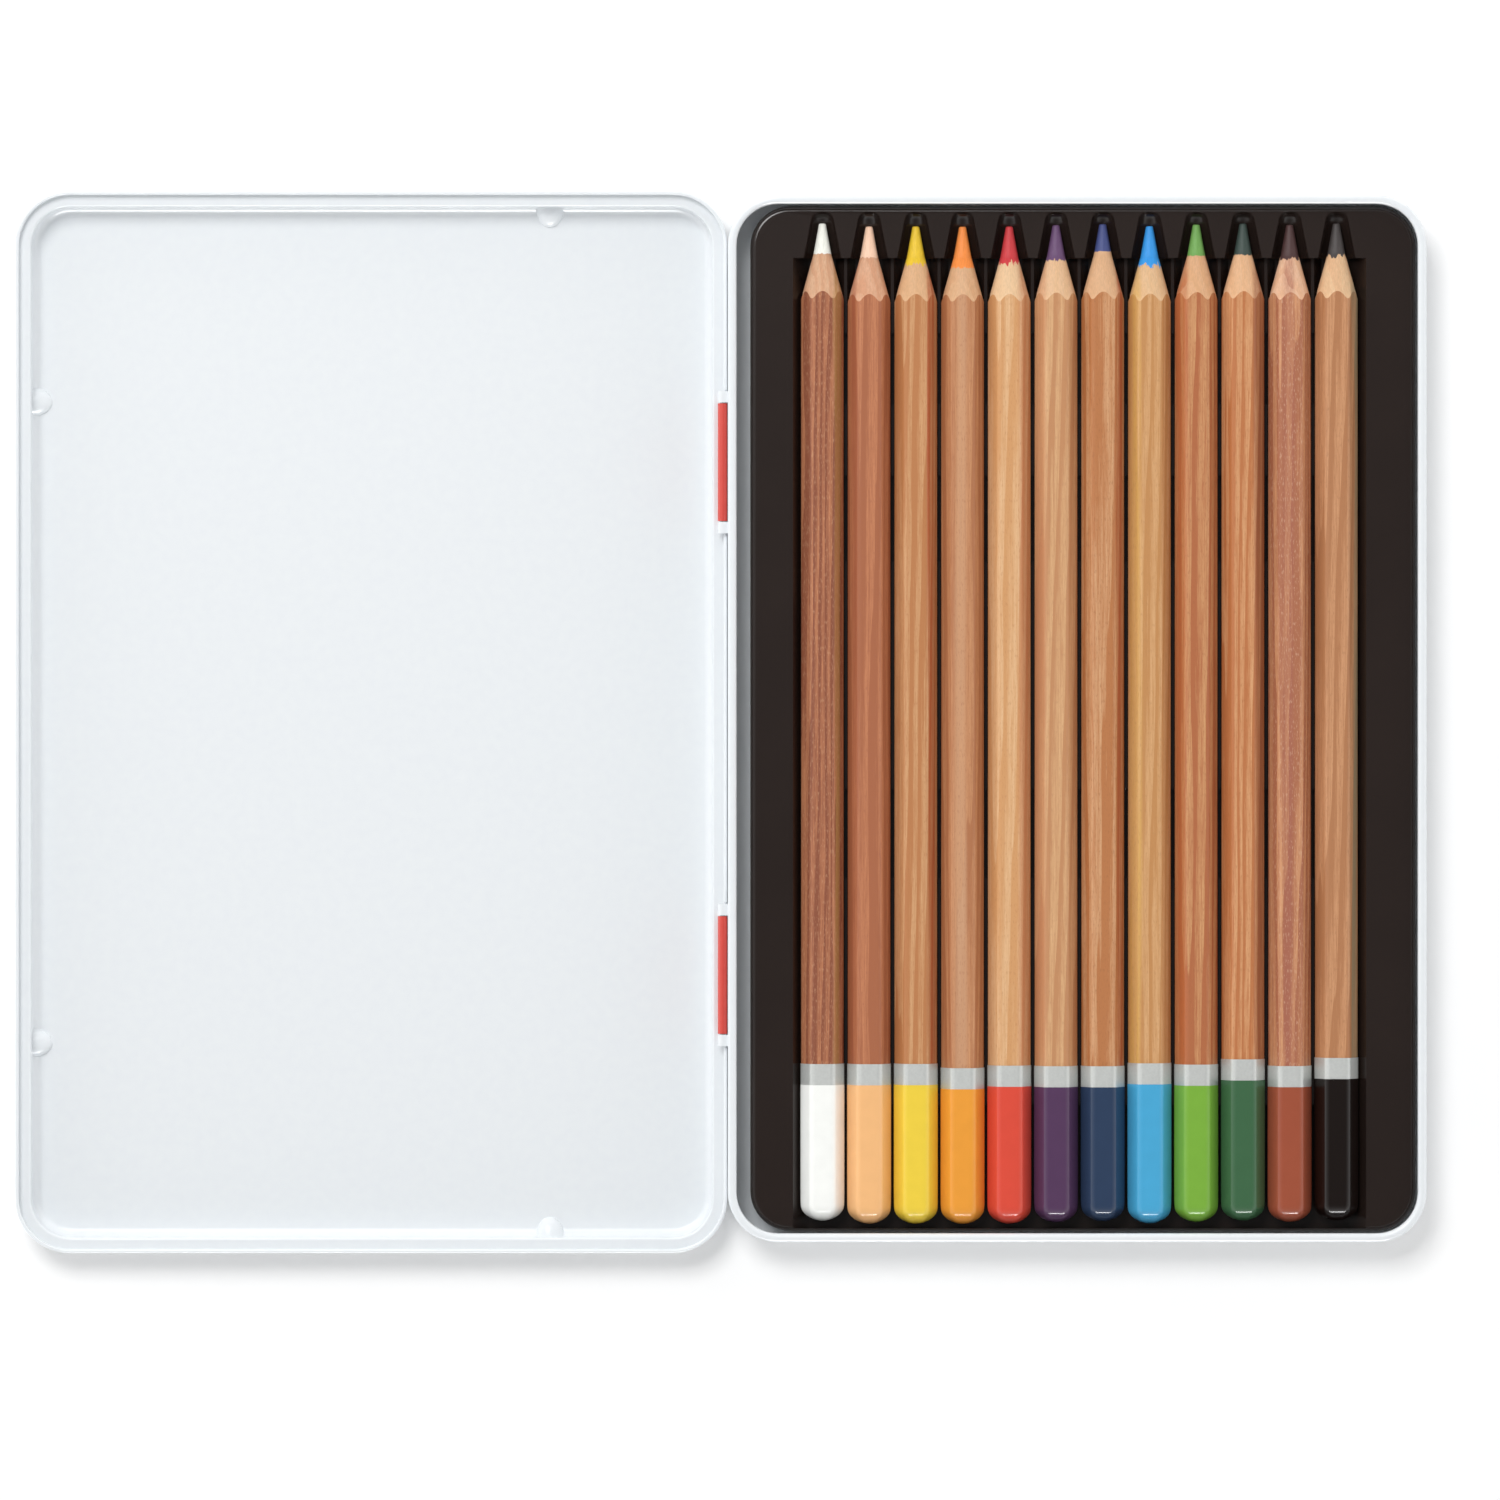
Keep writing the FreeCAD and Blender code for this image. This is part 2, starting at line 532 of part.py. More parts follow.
def make_knuckle(name, centre):
    body = new_body(name, x=PIN_X, y=f"{centre} - Sizes.knuckleLength / 2", z=PIN_Z)
    put_primitive(
        body,
        "AdditiveCylinder",
        "Roll",
        {"Radius": KNUCKLE_RADIUS, "Height": "Sizes.knuckleLength"},
        ("0", "0", "0"),
        ALONG_Y,
    )
    leaf = f"({PIN_Z} - {LEDGE_Z} - {STEP_ROUND} - Sizes.leafEndGap)"
    put_primitive(
        body,
        "AdditiveBox",
        "Leaf",
        {"Length": "Sizes.stripThickness", "Width": "Sizes.knuckleLength", "Height": leaf},
        (f"{LID_REAR_X} - Sizes.tinThickness - Sizes.stripThickness - {PIN_X}", "0", f"-{leaf}"),
    )
    put_primitive(
        body,
        "SubtractiveCylinder",
        "RollBore",
        {"Radius": "Sizes.pinRadius + Sizes.pinFit", "Height": "Sizes.knuckleLength"},
        ("0", "0", "0"),
        ALONG_Y,
    )
    return body


def make_pin(name, centre):
    half = "(Sizes.knuckleLength / 2 + Sizes.lugGap + Sizes.lugLength)"
    body = new_body(name, x=PIN_X, y=f"{centre} - {half}", z=PIN_Z)
    put_primitive(
        body,
        "AdditiveCylinder",
        "Wire",
        {"Radius": "Sizes.pinRadius", "Height": f"2 * {half}"},
        ("0", "0", "0"),
        ALONG_Y,
    )
    return body


# The tray: a formed sheet on the base's floor with a tip pocket and a channel for each pencil


def wall_reach(height):
    """Half of a channel's width at a height above its floor; its walls rise at 60 degrees."""
    return f"({FLOOR_HALF} + {height} / sqrt(3))"


def cut_across(body, name, outline, start, end):
    """Cuts an outline drawn across the tray, from one place along the pencils to another.
    The outline is in X and Z, and the sketch plane's normal points to -Y."""
    sketch = add_sketch(body, f"{name}Outline", "XZ_Plane", f"-{end}")
    draw_outline(sketch, outline)
    return extrude(body, "Pocket", name, sketch, f"{end} - {start}", backwards=True)


def row_x(k):
    """Middle of a pencil in the tray's own frame."""
    return f"(Sizes.rowCentre - {TRAY_CENTRE_X} + {k - (PENCIL_COUNT - 1) / 2} * {PITCH})"


def tip_pocket(body, k):
    """A scoop for one pencil's tip, turned about a line above the pencil at the flange's level."""
    root = f"(({PITCH} - Sizes.pocketWall) / 2)"
    far = "(Sizes.pocketMouth / 2 - Sizes.pocketRound)"
    round_y = f"({POCKET_END_Y} - Sizes.pocketRound)"
    sketch = add_sketch(body, f"TipPocket{k}Outline", "XY_Plane", TRAY_HEIGHT)
    sketch.setExpression("AttachmentOffset.Base.x", row_x(k))
    centre = FreeCAD.Vector(value(far), value(round_y), 0)
    size = value("Sizes.pocketRound")
    axis_end = FreeCAD.Vector(0, value(POCKET_END_Y), 0)
    axis_start = FreeCAD.Vector(0, value(POCKET_ROOT_Y), 0)
    side_start = FreeCAD.Vector(value(root), value(POCKET_ROOT_Y), 0)
    side_end = centre + FreeCAD.Vector(size, 0, 0)
    end_start = centre + FreeCAD.Vector(0, size, 0)
    corners = (end_start, axis_end, axis_start, side_start, side_end)
    lines = [sketch.addGeometry(Part.LineSegment(a, b)) for a, b in zip(corners, corners[1:])]
    arc = sketch.addGeometry(Part.ArcOfCircle(Part.Circle(centre, UPWARD, size), 0, math.pi / 2))
    for before, after in zip(lines, lines[1:]):
        sketch.addConstraint(Sketcher.Constraint("Coincident", before, END, after, START))
    sketch.addConstraint(Sketcher.Constraint("Tangent", lines[-1], END, arc, START))
    sketch.addConstraint(Sketcher.Constraint("Tangent", arc, END, lines[0], START))
    place_point(sketch, arc, CENTRE, far, round_y)
    index = sketch.addConstraint(Sketcher.Constraint("Radius", arc, size))
    sketch.setExpression(f"Constraints[{index}]", "Sizes.pocketRound")
    place_point(sketch, lines[1], START, "0", POCKET_END_Y)
    place_point(sketch, lines[2], START, "0", POCKET_ROOT_Y)
    place_point(sketch, lines[3], START, root, POCKET_ROOT_Y)
    turn_away(body, f"TipPocket{k}", sketch)


def side_hollow(body, name, channel, sign):
    """Empties the space under the flange, beside the outermost channel, over the straight sides."""
    skin = "Sizes.trayThickness * 2 / sqrt(3)"
    low = "(Sizes.channelRise - Sizes.trayThickness)"
    high = f"({TRAY_HEIGHT} - Sizes.trayThickness)"
    wall = f"{sign} * ({TRAY_WIDTH} / 2 - Sizes.trayThickness)"
    foot = f"({channel} + {sign} * ({wall_reach('0')} + {skin}))"
    lip = f"({channel} + {sign} * ({wall_reach(f'({TROUGH_DEPTH} - Sizes.trayThickness)')} + {skin}))"
    run = f"({TRAY_LENGTH} / 2 - {TRAY_CORNER})"
    cut_across(body, name, ((wall, low), (foot, low), (lip, high), (wall, high)), f"-{run}", run)


def make_tray():
    body = new_body("pencil_tray", x=TRAY_CENTRE_X, z="Sizes.tinThickness")
    top = TRAY_HEIGHT
    floor = "Sizes.channelRise"
    ridge = f"(Sizes.channelRise + {RIDGE_HEIGHT})"
    first = row_x(0)
    last = row_x(PENCIL_COUNT - 1)
    outline = add_sketch(body, "TrayOutline", "XY_Plane")
    draw_rectangle(outline, TRAY_WIDTH, TRAY_LENGTH, TRAY_CORNER)
    extrude(body, "Pad", "TrayBlock", outline, top)
    round_edges(body, "TrayEdgeRound", "Sizes.trayEdgeRound", at_level(top))
    under = add_sketch(body, "UndersideOutline", "XY_Plane")
    draw_rectangle(
        under,
        f"({TRAY_WIDTH} - 2 * Sizes.trayThickness)",
        f"({TRAY_LENGTH} - 2 * Sizes.trayThickness)",
        f"({TRAY_CORNER} - Sizes.trayThickness)",
    )
    extrude(body, "Pocket", "Underside", under, "Sizes.channelRise - Sizes.trayThickness", backwards=True)
    side_hollow(body, "HingeHollow", first, "-1")
    side_hollow(body, "FrontHollow", last, "1")

    comb = [(f"({first} - {wall_reach(TROUGH_DEPTH)})", top)]
    for k in range(PENCIL_COUNT):
        if k:
            comb.append((f"({row_x(k)} - {wall_reach(RIDGE_HEIGHT)})", ridge))
        comb.append((f"({row_x(k)} - {FLOOR_HALF})", floor))
        comb.append((f"({row_x(k)} + {FLOOR_HALF})", floor))
        if k < PENCIL_COUNT - 1:
            comb.append((f"({row_x(k)} + {wall_reach(RIDGE_HEIGHT)})", ridge))
    comb.append((f"({last} + {wall_reach(TROUGH_DEPTH)})", top))
    cut_across(body, "Channels", comb, TRENCH_END_Y, POCKET_ROOT_Y)
    for k, (low_share, high_share) in enumerate(NOTCH_SHARES):
        notch = f"({floor} + Sizes.notchFloor)"
        across = ((first, notch), (last, notch), (last, ridge), (first, ridge))
        start = f"({low_share} * {TRAY_LENGTH})"
        cut_across(body, f"FingerNotch{k}", across, start, f"({high_share} * {TRAY_LENGTH})")
    trench = ((first, floor), (last, floor), (last, ridge), (first, ridge))
    cut_across(body, "Trench", trench, TRENCH_END_Y, f"({TRENCH_SHARE} * {TRAY_LENGTH})")

    for k in range(PENCIL_COUNT):
        tip_pocket(body, k)
    return body


# The pencils: each lies along Y, its round end at its own origin


def dip_end(k):
    """Upper edge of a pencil's cap, and lower edge of its band."""
    return f"(Sizes.capLength + {DIP_SHARES[k]} * Sizes.bandLength)"


def pencil_body(kind, k):
    x = f"Sizes.rowCentre + {k - (PENCIL_COUNT - 1) / 2} * {PITCH}"
    y = f"{BUTT_Y} + {SHIFT_SHARES[k]} * Sizes.pencilShift"
    return new_body(f"pencil_{k + 1:02d}_{kind}", x=x, y=y, z=AXIS_Z)


def make_barrel(k):
    body = pencil_body("barrel", k)
    section = add_sketch(body, "BarrelSection", "XZ_Plane", f"-{WOOD_END}")
    draw_hexagon(section, "Sizes.acrossFlats", "Sizes.barrelRound")
    extrude(body, "Pad", "Barrel", section, f"{WOOD_END} - {CAP_END}")
    bore = add_sketch(body, "CoreBore", "XZ_Plane", f"-{WOOD_END}")
    draw_circle(bore, f"({CORE_RADIUS} + Sizes.glueGap)")
    extrude(body, "Pocket", "Bore", bore, f"{WOOD_END} - {CAP_END}", backwards=True)
    waste = add_sketch(body, "SharpeningWaste", "XY_Plane")
    slope = f"(Sizes.woodCone / ({CORNER_REACH} - {CORE_RADIUS}))"
    draw_outline(
        waste,
        (
            (CORE_RADIUS, WOOD_END),
            (CUT_REACH, f"({WOOD_END} - {slope} * ({CUT_REACH} - {CORE_RADIUS}))"),
            (CUT_REACH, f"({WOOD_END} + Sizes.cutOver)"),
            (CORE_RADIUS, f"({WOOD_END} + Sizes.cutOver)"),
        ),
    )
    turn_away(body, "Sharpening", waste)
    return body


def make_core(k):
    body = pencil_body("core", k)
    put_primitive(
        body,
        "AdditiveCylinder",
        "Shank",
        {"Radius": CORE_RADIUS, "Height": f"{WOOD_END} - {CAP_END}"},
        ("0", CAP_END, "0"),
        ALONG_Y,
    )
    put_primitive(
        body,
        "AdditiveCone",
        "Point",
        {"Radius1": CORE_RADIUS, "Radius2": "Sizes.tipRadius", "Height": "Sizes.coreExposed"},
        ("0", WOOD_END, "0"),
        ALONG_Y,
    )
    round_edges(body, "TipRound", "Sizes.tipRound", at_level("Sizes.pencilLength", "Y"))
    return body


def make_band(k):
    body = pencil_body("band", k)
    section = add_sketch(body, "BandSection", "XZ_Plane", f"-({dip_end(k)} + Sizes.bandLength)")
    outer_flats = "(Sizes.acrossFlats + 2 * Sizes.glueGap + 2 * Sizes.bandSkin)"
    draw_hexagon(section, outer_flats, "(Sizes.barrelRound + Sizes.glueGap + Sizes.bandSkin)")
    draw_hexagon(section, "(Sizes.acrossFlats + 2 * Sizes.glueGap)", "(Sizes.barrelRound + Sizes.glueGap)")
    extrude(body, "Pad", "Band", section, "Sizes.bandLength")
    return body


def draw_dome(sketch):
    """What lies outside the cap's round end, out to a radius beyond its corners. The end is an arc
    about the axis that runs on into a tighter arc at the side."""
    level = f"({SIDE_ARC_Y} - sqrt({SIDE_ARC} ^ 2 - ({CUT_REACH} - {SIDE_ARC_X}) ^ 2))"
    end_centre = FreeCAD.Vector(0, value(END_ARC), 0)
    side_centre = FreeCAD.Vector(value(SIDE_ARC_X), value(SIDE_ARC_Y), 0)
    corners = (
        (value(CUT_REACH), value(level)),
        (value(CUT_REACH), -value("Sizes.cutOver")),
        (0, -value("Sizes.cutOver")),
        (0, 0),
    )
    points = [FreeCAD.Vector(x, y, 0) for x, y in corners]
    join = side_centre - end_centre
    turn = math.atan2(join.y, join.x)
    rise = points[0] - side_centre
    finish = math.atan2(rise.y, rise.x)
    end_ball = Part.Circle(end_centre, UPWARD, value(END_ARC))
    side_ball = Part.Circle(side_centre, UPWARD, value(SIDE_ARC))
    end_arc = sketch.addGeometry(Part.ArcOfCircle(end_ball, -math.pi / 2, turn))
    side_arc = sketch.addGeometry(Part.ArcOfCircle(side_ball, turn, finish))
    lines = [sketch.addGeometry(Part.LineSegment(points[k], points[k + 1])) for k in range(3)]
    sketch.addConstraint(Sketcher.Constraint("Tangent", end_arc, END, side_arc, START))
    outline = (side_arc, *lines, end_arc)
    for before, after in zip(outline, outline[1:]):
        sketch.addConstraint(Sketcher.Constraint("Coincident", before, END, after, START))
    place_point(sketch, end_arc, CENTRE, "0", END_ARC)
    place_point(sketch, end_arc, START, "0", "0")
    place_point(sketch, side_arc, CENTRE, SIDE_ARC_X, SIDE_ARC_Y)
    place_point(sketch, lines[1], START, CUT_REACH, "-Sizes.cutOver")
    place_point(sketch, lines[2], START, "0", "-Sizes.cutOver")
    sketch.addConstraint(Sketcher.Constraint("Vertical", lines[0]))


def make_cap(k):
    body = pencil_body("cap", k)
    section = add_sketch(body, "CapSection", "XZ_Plane", f"-{dip_end(k)}")
    draw_hexagon(section, CAP_FLATS, "(Sizes.barrelRound + Sizes.capSkin)")
    extrude(body, "Pad", "Cap", section, dip_end(k))
    inside = add_sketch(body, "CapInside", "XZ_Plane", f"-{dip_end(k)}")
    draw_hexagon(inside, "(Sizes.acrossFlats + 2 * Sizes.glueGap)", "(Sizes.barrelRound + Sizes.glueGap)")
    extrude(body, "Pocket", "CapHollow", inside, f"{dip_end(k)} - {CAP_END}", backwards=True)
    dome = add_sketch(body, "DomeWaste", "XY_Plane")
    draw_dome(dome)
    turn_away(body, "Dome", dome)
    return body


def make_all():
    fill_sheet()
    bodies = [make_base(), make_lid()]
    for place, centre in HINGES:
        bodies.append(make_knuckle(f"hinge_strip_{place}", centre))
        bodies.append(make_pin(f"hinge_wire_{place}", centre))
    bodies.append(make_tray())
    for k in range(PENCIL_COUNT):
        bodies += [make_barrel(k), make_core(k), make_band(k), make_cap(k)]
    return bodies


def check_and_export(bodies):
    doc.recompute()
    for thing in doc.Objects:
        if "Invalid" in thing.State or "Error" in thing.State:
            raise ValueError(f"{thing.Name} is {thing.State}")
    for body in bodies:
        if body.Shape.isNull() or not body.Shape.isValid() or len(body.Shape.Solids) != 1:
            raise ValueError(f"{body.Label} has no single valid solid")
    os.makedirs("parts", exist_ok=True)
    for body in bodies:
        body.Shape.exportStep(f"parts/{body.Label}.step")
        print(body.Label, "volume", round(body.Shape.Volume, 2))


check_and_export(make_all())
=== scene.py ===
import math

import bmesh
import bpy
from mathutils import Matrix, Vector


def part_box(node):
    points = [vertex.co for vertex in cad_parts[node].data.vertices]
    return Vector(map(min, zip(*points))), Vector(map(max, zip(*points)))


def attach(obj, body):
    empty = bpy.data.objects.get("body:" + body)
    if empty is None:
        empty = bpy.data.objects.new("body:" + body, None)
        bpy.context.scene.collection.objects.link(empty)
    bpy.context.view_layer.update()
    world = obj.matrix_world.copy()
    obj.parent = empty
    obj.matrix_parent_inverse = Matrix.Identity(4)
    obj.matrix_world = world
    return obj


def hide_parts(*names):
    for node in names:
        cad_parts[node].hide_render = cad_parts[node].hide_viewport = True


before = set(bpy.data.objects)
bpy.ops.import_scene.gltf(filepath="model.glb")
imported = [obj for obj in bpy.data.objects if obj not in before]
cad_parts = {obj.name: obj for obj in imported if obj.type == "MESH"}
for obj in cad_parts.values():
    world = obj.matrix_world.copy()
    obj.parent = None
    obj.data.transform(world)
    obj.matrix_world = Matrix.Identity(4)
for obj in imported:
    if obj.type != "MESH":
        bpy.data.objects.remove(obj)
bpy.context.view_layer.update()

mm = 0.001


def linear(code):
    # sRGB hex to the linear colour that the shader wants
    parts = [int(code[k : k + 2], 16) / 255 for k in (1, 3, 5)]
    return tuple(c / 12.92 if c <= 0.04045 else ((c + 0.055) / 1.055) ** 2.4 for c in parts) + (1.0,)


def addNode(tree, kind, settings, sockets):
    # one shader node with its settings and its linked or fixed inputs
    node = tree.nodes.new("ShaderNode" + kind)
    for name, value in settings.items():
        setattr(node, name, value)
    for name, value in sockets.items():
        if isinstance(value, bpy.types.NodeSocket):
            tree.links.new(value, node.inputs[name])
        else:
            node.inputs[name].default_value = value
    return node


def newMaterial(name, **fixed):
    # an empty material with a Principled shader; fixed gives its plain values
    material = bpy.data.materials.new(name)
    material.use_nodes = True
    shader = material.node_tree.nodes["Principled BSDF"]
    for key, value in fixed.items():
        shader.inputs[key.replace("_", " ")].default_value = value
    return material, material.node_tree, shader


print("stage 1: tinplate, wire, foil and tray materials")

tin = {
    "white": "#EEF2F4",
    "whiteShade": "#E9EDF1",
    "red": "#DF5247",
    "redShade": "#D4473F",
    "peelWidth": 1.6,  # mm, slow waves in the sprayed lacquer
    "speckWidth": 0.25,  # mm, fine dust under it
    "speckShare": 0.15,  # height of the dust against that of the waves
    "relief": 0.02,  # mm
    "roughness": 0.34,
}


def lacqueredTinplate(name, colour, shade):
    # Sheet steel, sprayed and stoved: an even gloss with faint waves
    material, tree, shader = newMaterial(name, Roughness=tin["roughness"], Coat_Weight=0.3, Coat_Roughness=0.15)
    place = addNode(tree, "TexCoord", {}, {})
    slow = addNode(
        tree, "TexNoise", {}, {"Vector": place.outputs["Object"], "Scale": 1 / (tin["peelWidth"] * mm), "Detail": 2.0}
    )
    tone = addNode(
        tree,
        "Mix",
        {"data_type": "RGBA"},
        {"Factor": slow.outputs["Fac"], "A": linear(colour), "B": linear(shade)},
    )
    fine = addNode(
        tree, "TexNoise", {}, {"Vector": place.outputs["Object"], "Scale": 1 / (tin["speckWidth"] * mm), "Detail": 3.0}
    )
    height = addNode(
        tree,
        "Math",
        {"operation": "MULTIPLY_ADD"},
        {0: fine.outputs["Fac"], 1: tin["speckShare"], 2: slow.outputs["Fac"]},
    )
    bump = addNode(
        tree, "Bump", {}, {"Height": height.outputs[0], "Strength": 0.12, "Distance": tin["relief"] * mm}
    )
    tree.links.new(tone.outputs["Result"], shader.inputs["Base Color"])
    tree.links.new(bump.outputs[0], shader.inputs["Normal"])
    return material


wire = {
    "dark": "#8E9094",
    "light": "#B8BABC",
    "lineWidth": 0.11,  # mm, scratches of the die
    "lineLength": 8.0,  # mm
    "roughness": (0.25, 0.45),  # along the lines
}


def drawnSteelWire():
    # Bright wire pulled through a die: lines along its length
    material, tree, shader = newMaterial("drawnSteelWire", Metallic=1.0)
    place = addNode(tree, "TexCoord", {}, {})
    across = 1 / (wire["lineWidth"] * mm)
    along = 1 / (wire["lineLength"] * mm)
    stretch = addNode(tree, "Mapping", {}, {"Vector": place.outputs["Object"], "Scale": (across, along, across)})
    lines = addNode(tree, "TexNoise", {}, {"Vector": stretch.outputs[0], "Scale": 1.0, "Detail": 3.0})
    tone = addNode(
        tree,
        "Mix",
        {"data_type": "RGBA"},
        {"Factor": lines.outputs["Fac"], "A": linear(wire["dark"]), "B": linear(wire["light"])},
    )
    least, most = wire["roughness"]
    rough = addNode(tree, "MapRange", {}, {"Value": lines.outputs["Fac"], "To Min": least, "To Max": most})
    tree.links.new(tone.outputs["Result"], shader.inputs["Base Color"])
    tree.links.new(rough.outputs["Result"], shader.inputs["Roughness"])
    return material


band = {
    "dark": "#C9CCC9",
    "light": "#DADCD9",
    "wrinkle": 0.4,  # mm
    "relief": 0.03,  # mm
    "metal": 0.45,  # share of it that mirrors like metal; the rest is clear size over the foil
    "roughness": (0.36, 0.5),
}


def hotFoilSilver():
    # Silver foil rolled onto the lacquer: a dull mirror with fine wrinkles
    material, tree, shader = newMaterial("hotFoilSilver", Metallic=band["metal"])
    place = addNode(tree, "TexCoord", {}, {})
    grain = addNode(
        tree, "TexNoise", {}, {"Vector": place.outputs["Object"], "Scale": 1 / (band["wrinkle"] * mm), "Detail": 4.0}
    )
    tone = addNode(
        tree,
        "Mix",
        {"data_type": "RGBA"},
        {"Factor": grain.outputs["Fac"], "A": linear(band["dark"]), "B": linear(band["light"])},
    )
    least, most = band["roughness"]
    rough = addNode(tree, "MapRange", {}, {"Value": grain.outputs["Fac"], "To Min": least, "To Max": most})
    bump = addNode(
        tree, "Bump", {}, {"Height": grain.outputs["Fac"], "Strength": 0.2, "Distance": band["relief"] * mm}
    )
    tree.links.new(tone.outputs["Result"], shader.inputs["Base Color"])
    tree.links.new(rough.outputs["Result"], shader.inputs["Roughness"])
    tree.links.new(bump.outputs[0], shader.inputs["Normal"])
    return material


tray = {
    "colour": "#231A17",
    "worn": "#2C221E",
    "grain": 0.22,  # mm, etched grain of the forming mould
    "cloud": 60.0,  # per metre, slow changes of tone
    "relief": 0.03,  # mm
    "edge": 0.3,  # mm, radius of the ridges' corners
    "lip": 0.6,  # mm, radius of the corners at the flange
    "upright": 0.9,  # mm, radius of the corners that stand upright
}


def thermoformedPolystyrene():
    # Black-brown sheet, vacuum formed: satin, with the mould's fine grain
    material, tree, shader = newMaterial("thermoformedPolystyrene", Roughness=0.2, IOR=1.59)
    place = addNode(tree, "TexCoord", {}, {})
    grain = addNode(
        tree, "TexNoise", {}, {"Vector": place.outputs["Object"], "Scale": 1 / (tray["grain"] * mm), "Detail": 2.0}
    )
    cloud = addNode(
        tree, "TexNoise", {}, {"Vector": place.outputs["Object"], "Scale": tray["cloud"], "Detail": 3.0}
    )
    tone = addNode(
        tree,
        "Mix",
        {"data_type": "RGBA"},
        {"Factor": cloud.outputs["Fac"], "A": linear(tray["colour"]), "B": linear(tray["worn"])},
    )
    bump = addNode(
        tree, "Bump", {}, {"Height": grain.outputs["Fac"], "Strength": 0.15, "Distance": tray["relief"] * mm}
    )
    tree.links.new(tone.outputs["Result"], shader.inputs["Base Color"])
    tree.links.new(bump.outputs[0], shader.inputs["Normal"])
    return material


print("stage 2: pencil materials")

# One entry for each pencil, left to right. wood: light, dark and sharpened tone. turn: degrees that the
# growth rings are turned about the barrel, rings: mm between them, and slope: how fast they run out of it.
# streak: a band of other wood, its mm from the middle, half width in mm, colour and strength.
# pores: strength and colour of the fine dashes. border: mm of pigment past the CAD's edge with the wood,
# and how ragged that edge is.
pencils = (
    {"name": "white", "cap": "#FDFEFA", "core": "#FAFAF0",
     "wood": ("#C6825B", "#8E5138", "#E0B794"), "turn": 80, "rings": 1.3, "slope": 0.01,
     "streak": (2.5, 0.5, "#B5874F", 0.7), "pores": (0.5, "#D09E78"), "border": (-0.1, 0.3)},
    {"name": "peach", "cap": "#F7BE82", "core": "#FDD2B4",
     "wood": ("#CC865E", "#AA6644", "#E0B190"), "turn": 30, "rings": 1.8, "slope": 0.008,
     "streak": (-2.6, 0.5, "#A85D42", 0.5), "pores": (0.5, "#A6644A"), "border": (0.0, 0.4)},
    {"name": "yellow", "cap": "#F3D346", "core": "#F0C82D",
     "wood": ("#D9A879", "#BD7E4E", "#DFB288"), "turn": 60, "rings": 1.6, "slope": 0.012,
     "streak": (2.7, 0.45, "#B45A32", 0.75), "pores": (0.45, "#B5764A"), "border": (1.2, 0.9)},
    {"name": "orange", "cap": "#F0A03C", "core": "#FA9141",
     "wood": ("#CF9569", "#B2744C", "#DFB48A"), "turn": 15, "rings": 1.4, "slope": 0.01,
     "streak": (-0.3, 0.9, "#DDB18C", 0.5), "pores": (0.45, "#A96D4A"), "border": (1.8, 0.5)},
    {"name": "red", "cap": "#E0503E", "core": "#D2393F",
     "wood": ("#E9C093", "#D59D68", "#E8C49B"), "turn": 45, "rings": 1.9, "slope": 0.02,
     "streak": (2.6, 1.0, "#C67E57", 0.6), "pores": (0.4, "#B97B4D"), "border": (0.9, 1.5)},
    {"name": "violet", "cap": "#573B5C", "core": "#6A4A72",
     "wood": ("#E1B484", "#C48C60", "#E4BC96"), "turn": 70, "rings": 2.2, "slope": 0.035,
     "streak": (-2.7, 0.8, "#D0936A", 0.6), "pores": (0.4, "#B98560"), "border": (0.8, 0.7)},
    {"name": "darkBlue", "cap": "#2E405C", "core": "#434E86",
     "wood": ("#DCAB7F", "#BA7848", "#DDB088"), "turn": 20, "rings": 1.7, "slope": 0.012,
     "streak": (2.9, 0.6, "#B25A3A", 0.7), "pores": (0.5, "#A2683F"), "border": (-0.7, 0.2)},
    {"name": "lightBlue", "cap": "#4BAAD7", "core": "#329BEA",
     "wood": ("#DFAF7D", "#C48C55", "#E2BC92"), "turn": 55, "rings": 1.5, "slope": 0.015,
     "streak": (-2.6, 0.8, "#DDB060", 0.6), "pores": (0.45, "#B78453"), "border": (1.5, 1.4)},
    {"name": "lightGreen", "cap": "#7DB240", "core": "#73AA55",
     "wood": ("#D7A16F", "#B36A41", "#E0B088"), "turn": 35, "rings": 1.6, "slope": 0.01,
     "streak": (-2.7, 0.9, "#BD6A3C", 0.7), "pores": (0.45, "#A4623E"), "border": (0.0, 0.2)},
    {"name": "darkGreen", "cap": "#406948", "core": "#3A4A44",
     "wood": ("#E0A979", "#BE7646", "#E4B78F"), "turn": 75, "rings": 1.5, "slope": 0.012,
     "streak": (2.9, 0.9, "#9A5E40", 0.7), "pores": (0.4, "#A9683C"), "border": (0.0, 0.5)},
    {"name": "redBrown", "cap": "#A2533B", "core": "#4D3231",
     "wood": ("#DDA275", "#AD6C4D", "#ECC3A4"), "turn": 25, "rings": 1.3, "slope": 0.01,
     "streak": (-0.4, 0.8, "#A86552", 0.6), "pores": (0.5, "#DDB597"), "border": (0.5, 1.0)},
    {"name": "black", "cap": "#160D0A", "core": "#46403F",
     "wood": ("#D69E73", "#B47B52", "#E8C49A"), "turn": 65, "rings": 2.4, "slope": 0.04,
     "streak": (3.3, 0.5, "#8E8468", 0.7), "pores": (0.5, "#A87550"), "border": (0.2, 0.9)},
)
coreEnd = 169.5  # mm from the round end to the CAD's edge between wood and core

